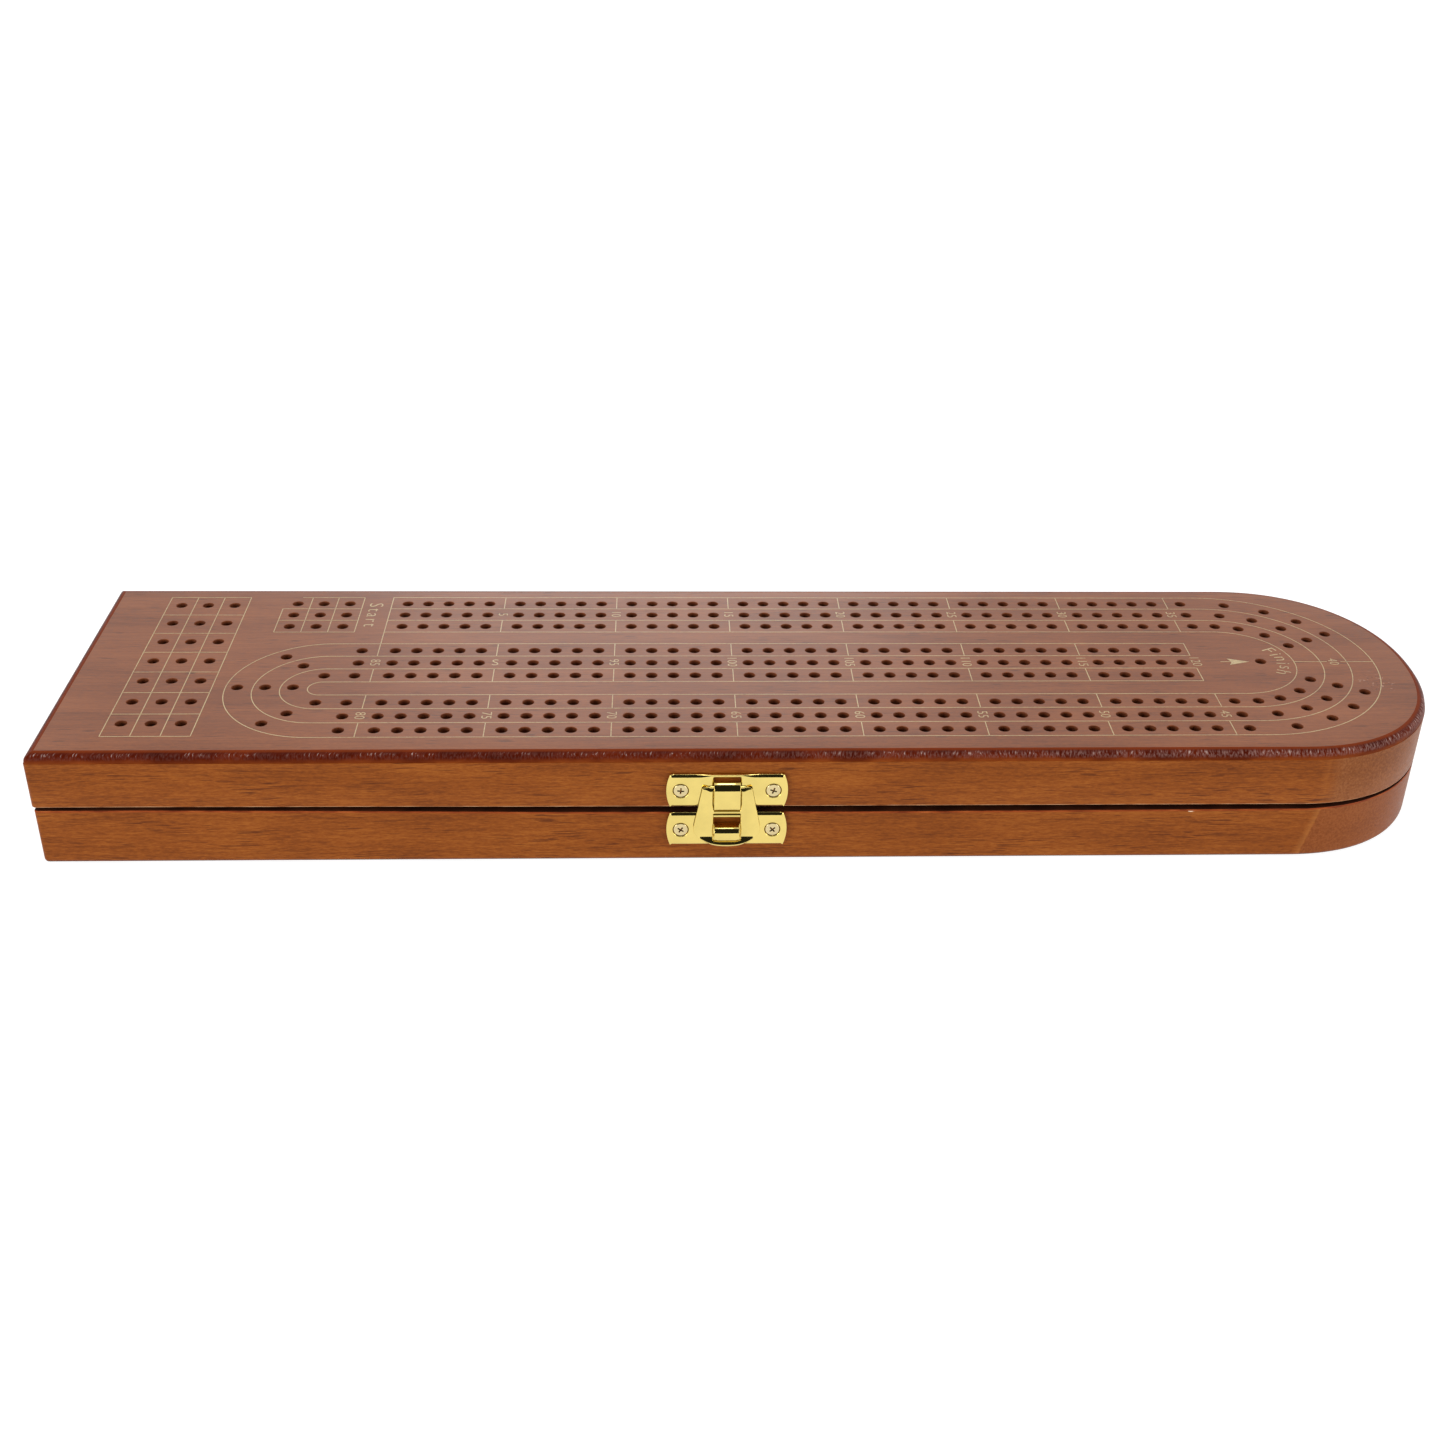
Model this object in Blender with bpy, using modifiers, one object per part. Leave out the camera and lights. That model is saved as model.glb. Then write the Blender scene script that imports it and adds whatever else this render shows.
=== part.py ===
"""Folding three-lane cribbage board: a hinged wooden case whose lid is the drilled track.

Metres, +Z up. The origin is the centre of the underside, +X points to the rounded end
and +Y to the hinged back edge. The lid swings on `lid_axis` and the latch flap on
`latch_axis`, two empties that carry the moving pieces.
"""

import math

import bmesh
import bpy
from mathutils import Matrix, Vector

# Case
LENGTH = 0.396
WIDTH = 0.104
HEIGHT = 0.0346
PARTING_GAP = 0.0012  # open line between the closed lid and the base
BASE_END_INSET = 0.0004  # the base stops a little short of the lid at the square end
TRACK_BOARD = 0.0080
BOTTOM_BOARD = 0.0040
TOP_ROUND_OVER = 0.0025
BOTTOM_ROUND_OVER = 0.0015
GLUE_GAP = 0.0003  # clearance between pieces that touch
END_CENTRE = 0.1504  # where the straight sides stop and the rounded end begins
END_FULLNESS = 2.17  # exponent of the rounded end: 2 is an ellipse, more is squarer
END_STEPS = 24  # straight pieces in the rounded end

# Compartments, the same four in the base and the lid
SIDE_RAIL = 0.0070
LEFT_RAIL = 0.0120
DIVIDER = 0.0100
CELL = 0.0680
CELL_COUNT = 4

# Peg holes
HOLE_RADIUS = 0.0016
HOLE_DEPTH = 0.0065
HOLE_PITCH = 0.00635  # a quarter inch
HOLE_SIDES = 6
LANE_PITCH = 0.00788
STREET_GAP = 0.0161  # from the inner lane of one street to the next street
GROUP_PITCH = 0.03488  # from one group of five to the next
GROUPS = 7
FIRST_X = -0.1063
FIRST_Y = 0.0407
TURN_X = 0.1425  # centre of the right turn
TURN_ENTRY_X = 0.1376
TURN_ANGLES = ((77.0, 59.0, 43.5, 28.0), (80.0, 62.0, 45.0, 27.5), (85.0, 68.0, 48.0, 27.0))
RETURN_X = -0.1245  # centre of the left turn
RETURN_ENTRY_X = -0.1161
RETURN_ANGLES = (123.5, 117.0, 92.0)
RETURN_LIFT = 0.0011
FINISH_HOLE = (0.1523, 0.0015)
START_FIRST_X = -0.1403
START_PITCH = 0.00805
GAMES_FIRST = (-0.1758, 0.0395)
GAMES_PITCH = (0.00815, 0.01236)
GAMES_ROWS = 7

# Latch: distances out from the front face, and heights
LATCH_X = -0.0095
PLATE_WIDTH = 0.0334
PLATE_BULGE = 0.0010
PLATE_THICKNESS = 0.0008
LID_PLATE = (0.0183, 0.02875)
BASE_PLATE = (0.00575, 0.01615)
LID_PLATE_WINDOW = (0.0247, 0.0276)
BASE_PLATE_WINDOW = (0.0125, 0.0147)
LATCH_SCREW_SPACING = 0.0254
LATCH_SCREW_HEIGHTS = (0.0234, 0.0108)
LATCH_SCREW_LIFT = 0.0002  # a head clears its plate by this much
LATCH_PIVOT_OUT = 0.0019
LATCH_PIVOT_HEIGHT = 0.0246
LATCH_ROD_RADIUS = 0.0006
TONGUE_WIDTH = 0.0072
STRIP_THICKNESS = 0.0007
STRIP_BEND = 0.0006
STRIP_ROOT = 0.0014  # a strip starts this far inside its plate
TONGUE_OUT = 0.0034
TONGUE_LOW = 0.0183
TONGUE_CURL = 0.0018
TONGUE_CURL_HEIGHT = 0.0242
TONGUE_CURL_END = 125  # degrees over the rod, from straight out
HOOK_OUT = 0.0036
HOOK_HIGH = 0.0120
HOOK_CURL = 0.0012
HOOK_LOW = 0.0090
FLAP_TOP_WIDTH = 0.0133
FLAP_WIDTH = 0.0188
FLAP_THICKNESS = 0.0008
FLAP_LOW = 0.0065
FLAP_CORNER = 0.0030
FLAP_CORNER_LIFT = 0.0010  # the rounded corners' lowest point above the flap's
FLAP_BELLY = (0.45, 0.0003)  # a point of the lower edge: part of the half width, and rise
FLAP_WINDOW_WIDTH = 0.0079
FLAP_WINDOWS = ((0.0080, 0.0166), (0.0176, 0.0242))

# Hinges
HINGE_CENTRES = (-0.125, 0.105)
LEAF_WIDTH = 0.0250
LEAF_THICKNESS = 0.0009
LEAF_FAR = 0.0118  # from the pin to the leaf's far edge
LEAF_NEAR = 0.0021  # from the pin to the leaf's cut-back edge
LEAF_CORNER = 0.0003  # the cut-back edge slopes away by this much at its corners
HINGE_OUT = 0.0021  # pin behind the back face
KNUCKLE_RADIUS = 0.0017
KNUCKLE_BORE = 0.00095
KNUCKLE_MIDDLE = 0.0100
KNUCKLE_GAP = 0.0006
BARREL_PROUD = 0.0001  # a knuckle stands past its leaf's tab at each end
PIN_RADIUS = 0.0007
PIN_LENGTH = 0.0256
LEAF_SCREW_SPACING = 0.0160
LEAF_SCREW_REACH = 0.0072  # from the pin to the row of screws

# Screws
SHANK_RADIUS = 0.0008
SHANK_LENGTH = 0.0050
SHANK_POINT = 0.0012  # length of the tapered point
SHANK_TIP = 0.3  # tip over shank radius
HEAD_EDGE = 0.5  # part of the head's height that is straight
HEAD_TOP = 0.6  # flat top over head radius
PILOT_RADIUS = 0.0012
PILOT_SPARE = 0.0005  # a bore runs past the screw's tip
CUT_CLEAR = 0.0040  # a bore's cutter starts this far outside the face
LATCH_HEAD_RADIUS = 0.0022
LATCH_HEAD_HEIGHT = 0.0010
LEAF_HEAD_RADIUS = 0.0016
LEAF_HEAD_HOLE = 0.0020
LEAF_HEAD_START = 0.0001  # the hole for a head stops this far outside the wood

# Sides of the round pieces
BORE_SIDES = 12
BARREL_SIDES = 16
ROD_SIDES = 10
SCREW_SIDES = 12
PEG_SIDES = 10

# Pegs: half profile from the tip, as length along the peg and radius
PEG_PROFILE = (
    (0.0000, 0.0011),
    (0.0010, 0.00135),
    (0.0120, 0.00148),
    (0.0122, 0.0021),
    (0.0136, 0.0021),
    (0.0150, 0.0013),
    (0.0230, 0.0015),
    (0.0248, 0.0023),
    (0.0270, 0.0025),
    (0.0290, 0.0019),
)
PEG_SPACING = 0.0072
PEG_TURNS = (3.0, -2.0, 1.5, -3.0, 2.0, 0.5, -1.5, 2.5, -2.5)  # degrees each peg lies askew

BACK = WIDTH / 2
FRONT = -WIDTH / 2
BASE_TOP = (HEIGHT - PARTING_GAP) / 2
LID_UNDERSIDE = (HEIGHT + PARTING_GAP) / 2
FIRST_CELL = -LENGTH / 2 + LEFT_RAIL
END_BLOCK = FIRST_CELL + CELL_COUNT * CELL + (CELL_COUNT - 1) * DIVIDER
FACING_FRONT = Matrix.Rotation(math.pi / 2, 4, "X")  # local X, Y become X, Z, and local Z becomes -Y
SIDEWAYS = Matrix(((0, 0, -1, 0), (-1, 0, 0, 0), (0, 1, 0, 0), (0, 0, 0, 1)))  # local X, Y become -Y, Z


def clear_scene():
    for thing in list(bpy.data.objects):
        bpy.data.objects.remove(thing, do_unlink=True)


def new_collection(name):
    collection = bpy.data.collections.new(name)
    bpy.context.scene.collection.children.link(collection)
    return collection


def new_finish(name, colour, roughness, metallic=0.0):
    finish = bpy.data.materials.new(name)
    finish.use_nodes = True
    shader = finish.node_tree.nodes["Principled BSDF"]
    shader.inputs["Base Color"].default_value = (*colour, 1.0)
    shader.inputs["Roughness"].default_value = roughness
    shader.inputs["Metallic"].default_value = metallic
    return finish


clear_scene()
BOARD = new_collection("cribbage_board")
CUTTERS = new_collection("cutters")
TRACK_WOOD = new_finish("track_wood", (0.30, 0.13, 0.08), 0.35)
CASE_WOOD = new_finish("case_wood", (0.26, 0.09, 0.03), 0.40)
BRASS = new_finish("brass", (0.85, 0.62, 0.22), 0.15, 1.0)
PEG_FINISHES = (
    new_finish("peg_brass", (0.80, 0.58, 0.25), 0.20, 1.0),
    new_finish("peg_steel", (0.62, 0.63, 0.65), 0.20, 1.0),
    new_finish("peg_black", (0.02, 0.02, 0.022), 0.30, 1.0),
)


def add(name, mesh, matrix, finish, parent=None):
    """One sub-part: its mesh, where it stands, and the empty that carries it."""
    thing = bpy.data.objects.new(name, mesh)
    BOARD.objects.link(thing)
    thing.matrix_world = matrix
    mesh.materials.clear()
    mesh.materials.append(finish)
    if parent:
        thing.parent = parent
        thing.matrix_parent_inverse = parent.matrix_world.inverted()
    return thing


def as_cutter(thing):
    """Takes a shape out of the board: it only cuts, or joins on to, another piece."""
    BOARD.objects.unlink(thing)
    CUTTERS.objects.link(thing)
    thing.hide_render = True
    thing.display_type = "WIRE"
    return thing


def combine(thing, other, operation="DIFFERENCE"):
    modifier = thing.modifiers.new(f"{operation.lower()}_{other.name}", "BOOLEAN")
    modifier.operation = operation
    modifier.object = other
    modifier.solver = "EXACT"


def empty(name, position):
    axis = bpy.data.objects.new(name, None)
    axis.empty_display_size = 0.01
    BOARD.objects.link(axis)
    axis.location = position
    bpy.context.view_layer.update()
    return axis


def box(name, low, high, finish, parent=None):
    low, high = Vector(low), Vector(high)
    mesh = bpy.data.meshes.new(name)
    shape = bmesh.new()
    bmesh.ops.create_cube(shape, size=1.0)
    bmesh.ops.scale(shape, vec=high - low, verts=shape.verts)
    shape.to_mesh(mesh)
    shape.free()
    return add(name, mesh, Matrix.Translation((low + high) / 2), finish, parent)


def curve_mesh(curve):
    """The mesh of a curve, with its caps welded on and its flat faces whole."""
    holder = bpy.data.objects.new(curve.name, curve)
    BOARD.objects.link(holder)
    graph = bpy.context.evaluated_depsgraph_get()
    mesh = bpy.data.meshes.new_from_object(holder.evaluated_get(graph))
    bpy.data.objects.remove(holder, do_unlink=True)
    shape = bmesh.new()
    shape.from_mesh(mesh)
    bmesh.ops.remove_doubles(shape, verts=shape.verts, dist=1e-6)
    bmesh.ops.dissolve_limit(shape, angle_limit=0.01, verts=shape.verts, edges=shape.edges)
    bmesh.ops.recalc_face_normals(shape, faces=shape.faces)
    shape.to_mesh(mesh)
    shape.free()
    return mesh


def flat_curve(name, outlines, thickness, closed=True):
    curve = bpy.data.curves.new(name, "CURVE")
    curve.dimensions = "2D"
    curve.fill_mode = "BOTH" if closed else "NONE"
    curve.extrude = thickness / 2
    for points in outlines:
        spline = curve.splines.new("POLY")
        spline.points.add(len(points) - 1)
        for point, (x, y) in zip(spline.points, points):
            point.co = (x, y, 0.0, 1.0)
        spline.use_cyclic_u = closed
    return curve


def slab(name, outlines, thickness, matrix, finish, parent=None):
    """A flat outline, with any windows as further outlines, given a thickness."""
    mesh = curve_mesh(flat_curve(name, outlines, thickness))
    return add(name, mesh, matrix, finish, parent)


def strip(name, path, width, matrix, finish):
    """A bent strip of sheet metal that follows a side view."""
    mesh = curve_mesh(flat_curve(name, [path], width, closed=False))
    thing = add(name, mesh, matrix, finish)
    solidify = thing.modifiers.new("sheet", "SOLIDIFY")
    solidify.thickness = STRIP_THICKNESS
    solidify.offset = 0.0
    solidify.use_even_offset = True
    return thing


def round_edges(thing, height, width, segments):
    """Rounds the outer edges of a slab that lie at this height of its own mesh."""
    mesh = thing.data
    shape = bmesh.new()
    shape.from_mesh(mesh)
    weight = shape.edges.layers.float.new("bevel_weight_edge")
    for edge in shape.edges:
        level = all(abs(vertex.co.z - height) < 1e-6 for vertex in edge.verts)
        if level and edge.calc_face_angle(0.0) > 0.5:
            edge[weight] = 1.0
    shape.to_mesh(mesh)
    shape.free()
    bevel = thing.modifiers.new("round_over", "BEVEL")
    bevel.limit_method = "WEIGHT"
    bevel.width = width
    bevel.segments = segments


def arc(centre, radius, start, end, steps):
    """Points on an arc, angles in degrees."""
    angles = [math.radians(start + (end - start) * i / steps) for i in range(steps + 1)]
    return [(centre[0] + radius * math.cos(a), centre[1] + radius * math.sin(a)) for a in angles]


def rods(name, ends, radius, sides):
    """Plain cylinders between pairs of points, as one mesh."""
    mesh = bpy.data.meshes.new(name)
    shape = bmesh.new()
    for start, end in ends:
        start, end = Vector(start), Vector(end)
        along = end - start
        place = Matrix.Translation((start + end) / 2) @ along.to_track_quat("Z", "Y").to_matrix().to_4x4()
        bmesh.ops.create_cone(
            shape,
            cap_ends=True,
            segments=sides,
            radius1=radius,
            radius2=radius,
            depth=along.length,
            matrix=place,
        )
    shape.to_mesh(mesh)
    shape.free()
    return mesh


def turned(name, profile, matrix, finish, sides, parent=None):
    """A turned shape: a half profile, given as height and radius, spun about its own Z."""
    points = [(0.0, profile[-1][0])] + [(r, z) for z, r in reversed(profile)] + [(0.0, profile[0][0])]
    mesh = bpy.data.meshes.new(name)
    edges = [(i, i + 1) for i in range(len(points) - 1)]
    mesh.from_pydata([(r, 0.0, z) for r, z in points], edges, [])
    thing = add(name, mesh, matrix, finish, parent)
    spin = thing.modifiers.new("spin", "SCREW")
    spin.steps = spin.render_steps = sides
    spin.use_merge_vertices = True
    spin.merge_threshold = 1e-5
    return thing


# --- Peg holes -------------------------------------------------------------------------


def lane_y(street, lane):
    return FIRST_Y - street * (2 * LANE_PITCH + STREET_GAP) - lane * LANE_PITCH


def street_holes():
    """Three streets of three lanes, each lane seven groups of five."""
    for street in range(3):
        for lane in range(3):
            for group in range(GROUPS):
                for hole in range(5):
                    yield FIRST_X + group * GROUP_PITCH + hole * HOLE_PITCH, lane_y(street, lane)


def right_turn_holes():
    """Ten holes a lane round the rounded end, from the back street to the front street."""
    middle = (lane_y(0, 0) + lane_y(2, 2)) / 2
    for lane, angles in enumerate(TURN_ANGLES):
        radius = lane_y(0, lane) - middle
        for side in (1, -1):
            yield TURN_ENTRY_X, middle + side * radius
            for angle in angles:
                turn = math.radians(angle)
                yield TURN_X + radius * math.cos(turn), middle + side * radius * math.sin(turn)


def left_turn_holes():
    """Five holes a lane from the front street up into the middle street."""
    middle = (lane_y(1, 2) + lane_y(2, 0)) / 2
    for lane, angle in enumerate(RETURN_ANGLES):
        radius = lane_y(1, lane) - middle
        for side in (1, -1):
            turn = math.radians(angle)
            yield RETURN_ENTRY_X, middle + side * radius
            yield RETURN_X + radius * math.cos(turn), middle + side * radius * math.sin(turn)
        yield RETURN_X - radius, middle + RETURN_LIFT


def block_holes():
    """The three-by-three start block and the three-by-seven game counter."""
    for column in range(3):
        for lane in range(3):
            yield START_FIRST_X + column * START_PITCH, lane_y(0, lane)
        for row in range(GAMES_ROWS):
            x, y = GAMES_FIRST
            yield x + column * GAMES_PITCH[0], y - row * GAMES_PITCH[1]


def hole_cutter():
    holes = [*street_holes(), *right_turn_holes(), *left_turn_holes(), *block_holes(), FINISH_HOLE]
    ends = [((x, y, HEIGHT - HOLE_DEPTH), (x, y, HEIGHT + HOLE_DEPTH)) for x, y in holes]
    mesh = rods("peg_holes", ends, HOLE_RADIUS, HOLE_SIDES)
    return as_cutter(add("peg_holes", mesh, Matrix(), TRACK_WOOD))


# --- Wooden case -----------------------------------------------------------------------


def rounded_end():
    """The right end, from the front to the back: a little fuller than half an ellipse."""
    points = []
    for step in range(END_STEPS + 1):
        angle = math.pi * (step / END_STEPS - 0.5)
        along = max(math.cos(angle), 0.0) ** (2 / END_FULLNESS)
        across = math.copysign(abs(math.sin(angle)) ** (2 / END_FULLNESS), angle)
        points.append((END_CENTRE + (LENGTH / 2 - END_CENTRE) * along, BACK * across))
    return points


def case_outline(left):
    """Square at the left, straight sides, and the rounded end."""
    return [(left, BACK), (left, FRONT)] + rounded_end()


def board(name, left, low, high, finish, parent=None):
    place = Matrix.Translation((0, 0, (low + high) / 2))
    return slab(name, [case_outline(left)], high - low, place, finish, parent)


def frame(half, left, low, high, parent=None):
    """The rails, dividers and rounded end block between a half's board and the parting line."""
    inner = BACK - SIDE_RAIL
    box(f"{half}_front_rail", (left, FRONT, low), (END_BLOCK - GLUE_GAP, -inner, high), CASE_WOOD, parent)
    box(f"{half}_back_rail", (left, inner, low), (END_BLOCK - GLUE_GAP, BACK, high), CASE_WOOD, parent)
    across = inner - GLUE_GAP
    box(f"{half}_left_rail", (left, -across, low), (FIRST_CELL, across, high), CASE_WOOD, parent)
    for number in range(1, CELL_COUNT):
        start = FIRST_CELL + number * CELL + (number - 1) * DIVIDER
        ends = (start, -across, low), (start + DIVIDER, across, high)
        box(f"{half}_divider_{number}", *ends, CASE_WOOD, parent)
    place = Matrix.Translation((0, 0, (low + high) / 2))
    slab(f"{half}_round_end", [case_outline(END_BLOCK)], high - low, place, CASE_WOOD, parent)


def case(lid_axis):
    left = -LENGTH / 2
    track = board("track_board", left, HEIGHT - TRACK_BOARD, HEIGHT, TRACK_WOOD, lid_axis)
    round_edges(track, TRACK_BOARD / 2, TOP_ROUND_OVER, 3)
    combine(track, hole_cutter())
    frame("lid", left, LID_UNDERSIDE, HEIGHT - TRACK_BOARD - GLUE_GAP, lid_axis)
    left += BASE_END_INSET
    bottom = board("bottom_board", left, 0.0, BOTTOM_BOARD, CASE_WOOD)
    round_edges(bottom, -BOTTOM_BOARD / 2, BOTTOM_ROUND_OVER, 2)
    frame("base", left, BOTTOM_BOARD + GLUE_GAP, BASE_TOP)


# --- Screws ----------------------------------------------------------------------------


def bored(name, positions, direction, radius=PILOT_RADIUS, depth=SHANK_LENGTH + PILOT_SPARE):
    """A cutter for holes bored in from a face, to `depth` below it."""
    outwards = Vector(direction)
    ends = [(Vector(p) + outwards * CUT_CLEAR, Vector(p) - outwards * depth) for p in positions]
    return as_cutter(add(name, rods(name, ends, radius, BORE_SIDES), Matrix(), BRASS))


def screw(name, position, direction, profile, parent=None):
    turn = Vector(direction).to_track_quat("Z", "Y").to_matrix().to_4x4()
    place = Matrix.Translation(position) @ turn
    turned(name, profile, place, BRASS, SCREW_SIDES, parent)


def screw_profile(head_radius, seat, head_height):
    """Shank and head, measured out from the wood's face."""
    return (
        (-SHANK_LENGTH, SHANK_RADIUS * SHANK_TIP),
        (SHANK_POINT - SHANK_LENGTH, SHANK_RADIUS),
        (seat, SHANK_RADIUS),
        (seat, head_radius),
        (seat + head_height * HEAD_EDGE, head_radius),
        (seat + head_height, head_radius * HEAD_TOP),
    )


# --- Latch -----------------------------------------------------------------------------


def plate_outline(low, high):
    """A plate whose two short ends bulge outwards."""
    half = (high - low) / 2
    middle = (low + high) / 2
    reach = PLATE_WIDTH / 2
    radius = (half**2 + PLATE_BULGE**2) / (2 * PLATE_BULGE)
    spread = math.degrees(math.asin(half / radius))
    right = arc((reach - radius, middle), radius, -spread, spread, 6)
    left = arc((radius - reach, middle), radius, 180 - spread, 180 + spread, 6)
    return right + left


def rectangle(half_width, low, high):
    return [(-half_width, low), (half_width, low), (half_width, high), (-half_width, high)]


def tongue_path():
    """Side view of the lid plate's tongue, as distance out and height.

    It leaves the plate's lower edge, runs up in front of the flap and curls back over
    the flap's rod.
    """
    plate = GLUE_GAP + PLATE_THICKNESS / 2
    low = TONGUE_LOW + STRIP_BEND
    return (
        [(plate, TONGUE_LOW + STRIP_ROOT)]
        + arc((plate + STRIP_BEND, low), STRIP_BEND, 180, 270, 3)
        + arc((TONGUE_OUT - STRIP_BEND, low), STRIP_BEND, -90, 0, 3)
        + arc((TONGUE_OUT - TONGUE_CURL, TONGUE_CURL_HEIGHT), TONGUE_CURL, 0, TONGUE_CURL_END, 8)
    )


def hook_path():
    """Side view of the base plate's hook: out through the flap's window, then down."""
    plate = GLUE_GAP + PLATE_THICKNESS / 2
    return (
        [(plate, HOOK_HIGH - STRIP_ROOT)]
        + arc((plate + STRIP_BEND, HOOK_HIGH - STRIP_BEND), STRIP_BEND, 180, 90, 3)
        + arc((HOOK_OUT - HOOK_CURL, HOOK_HIGH - HOOK_CURL), HOOK_CURL, 90, 0, 5)
        + [(HOOK_OUT, HOOK_LOW)]
    )


def latch_plate(name, height, windows, tab_path, parent=None):
    """A screwed-on plate and the strip that stands out from it."""
    out = GLUE_GAP + PLATE_THICKNESS / 2
    place = Matrix.Translation((LATCH_X, FRONT - out, 0)) @ FACING_FRONT
    outlines = [plate_outline(*height)] + windows
    plate = slab(name, outlines, PLATE_THICKNESS, place, BRASS, parent)
    beside = Matrix.Translation((LATCH_X, FRONT, 0)) @ SIDEWAYS
    tab = as_cutter(strip(f"{name}_tab", tab_path, TONGUE_WIDTH, beside, BRASS))
    combine(plate, tab, "UNION")
    return plate


def flap_outline():
    """Narrow at the rod, widest near the bottom, with a curved lower edge."""
    wide = FLAP_WIDTH / 2
    shoulder = FLAP_LOW + FLAP_CORNER_LIFT + FLAP_CORNER
    right = arc((wide - FLAP_CORNER, shoulder), FLAP_CORNER, -60, 0, 4)
    lower = [(0.0, FLAP_LOW), (wide * FLAP_BELLY[0], FLAP_LOW + FLAP_BELLY[1])]
    half = lower + right + [(FLAP_TOP_WIDTH / 2, LATCH_PIVOT_HEIGHT)]
    return half + [(-x, z) for x, z in reversed(half[1:])]


def latch(lid_axis, latch_axis):
    lid_window = rectangle(FLAP_WINDOW_WIDTH / 2, *LID_PLATE_WINDOW)
    lid_plate = latch_plate("latch_lid_plate", LID_PLATE, [lid_window], tongue_path(), lid_axis)
    base_window = rectangle(TONGUE_WIDTH / 2, *BASE_PLATE_WINDOW)
    base_plate = latch_plate("latch_base_plate", BASE_PLATE, [base_window], hook_path())

    place = Matrix.Translation((LATCH_X, FRONT - LATCH_PIVOT_OUT, 0)) @ FACING_FRONT
    windows = [rectangle(FLAP_WINDOW_WIDTH / 2, *heights) for heights in FLAP_WINDOWS]
    flap = slab("latch_flap", [flap_outline()] + windows, FLAP_THICKNESS, place, BRASS, latch_axis)
    reach = FLAP_TOP_WIDTH / 2
    height = (FRONT - LATCH_PIVOT_OUT, LATCH_PIVOT_HEIGHT)
    ends = [((LATCH_X - reach, *height), (LATCH_X + reach, *height))]
    rod = add("latch_rod", rods("latch_rod", ends, LATCH_ROD_RADIUS, ROD_SIDES), Matrix(), BRASS)
    combine(flap, as_cutter(rod), "UNION")

    seat = GLUE_GAP + PLATE_THICKNESS + LATCH_SCREW_LIFT
    profile = screw_profile(LATCH_HEAD_RADIUS, seat, LATCH_HEAD_HEIGHT)
    halves = zip(("lid", "base"), LATCH_SCREW_HEIGHTS, (lid_plate, base_plate), (lid_axis, None))
    for half, height, plate, carrier in halves:
        places = [(LATCH_X + sign * LATCH_SCREW_SPACING / 2, FRONT, height) for sign in (-1, 1)]
        for side, place in zip(("left", "right"), places):
            screw(f"latch_{half}_screw_{side}", place, (0, -1, 0), profile, carrier)
        bores = bored(f"latch_{half}_bores", places, (0, -1, 0))
        combine(plate, bores)
        combine(bpy.data.objects[f"{half}_front_rail"], bores)


# --- Hinges ----------------------------------------------------------------------------


def leaf_outline(up, knuckles):
    """A leaf, from its far edge to the pin, cut back where the other leaf's knuckles turn.

    `up` is 1 for the lid's leaf and -1 for the base's. `knuckles` are its own knuckles'
    spans along the pin, in order.
    """
    half = LEAF_WIDTH / 2
    near, far = up * LEAF_NEAR, up * LEAF_FAR
    corner = near + up * LEAF_CORNER
    edge = []
    for start, end in knuckles:
        edge += [(start, near), (start, 0.0), (end, 0.0), (end, near)]
    inner = [point for point in edge if abs(point[0]) < half or point[1] == 0.0]
    outer = [] if knuckles[0][0] <= -half else [(half, corner)]
    return inner + outer + [(half, far), (-half, far)] + [(-x, z) for x, z in outer]


def hinge_leaf(name, centre, up, knuckles, parent=None):
    pin_height = HEIGHT / 2
    out = BACK + GLUE_GAP + LEAF_THICKNESS / 2
    place = Matrix.Translation((centre, out, pin_height)) @ FACING_FRONT
    leaf = slab(name, [leaf_outline(up, knuckles)], LEAF_THICKNESS, place, BRASS, parent)
    axis = (BACK + HINGE_OUT, pin_height)
    spans = [
        ((centre + start - BARREL_PROUD, *axis), (centre + end + BARREL_PROUD, *axis))
        for start, end in knuckles
    ]
    knuckle = rods(f"{name}_barrel", spans, KNUCKLE_RADIUS, BARREL_SIDES)
    combine(leaf, as_cutter(add(knuckle.name, knuckle, Matrix(), BRASS)), "UNION")
    reach = (LEAF_WIDTH + PIN_LENGTH) / 2
    through = [((centre - reach, *axis), (centre + reach, *axis))]
    bore = rods(f"{name}_bore", through, KNUCKLE_BORE, BORE_SIDES)
    combine(leaf, as_cutter(add(bore.name, bore, Matrix(), BRASS)))
    return leaf


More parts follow.
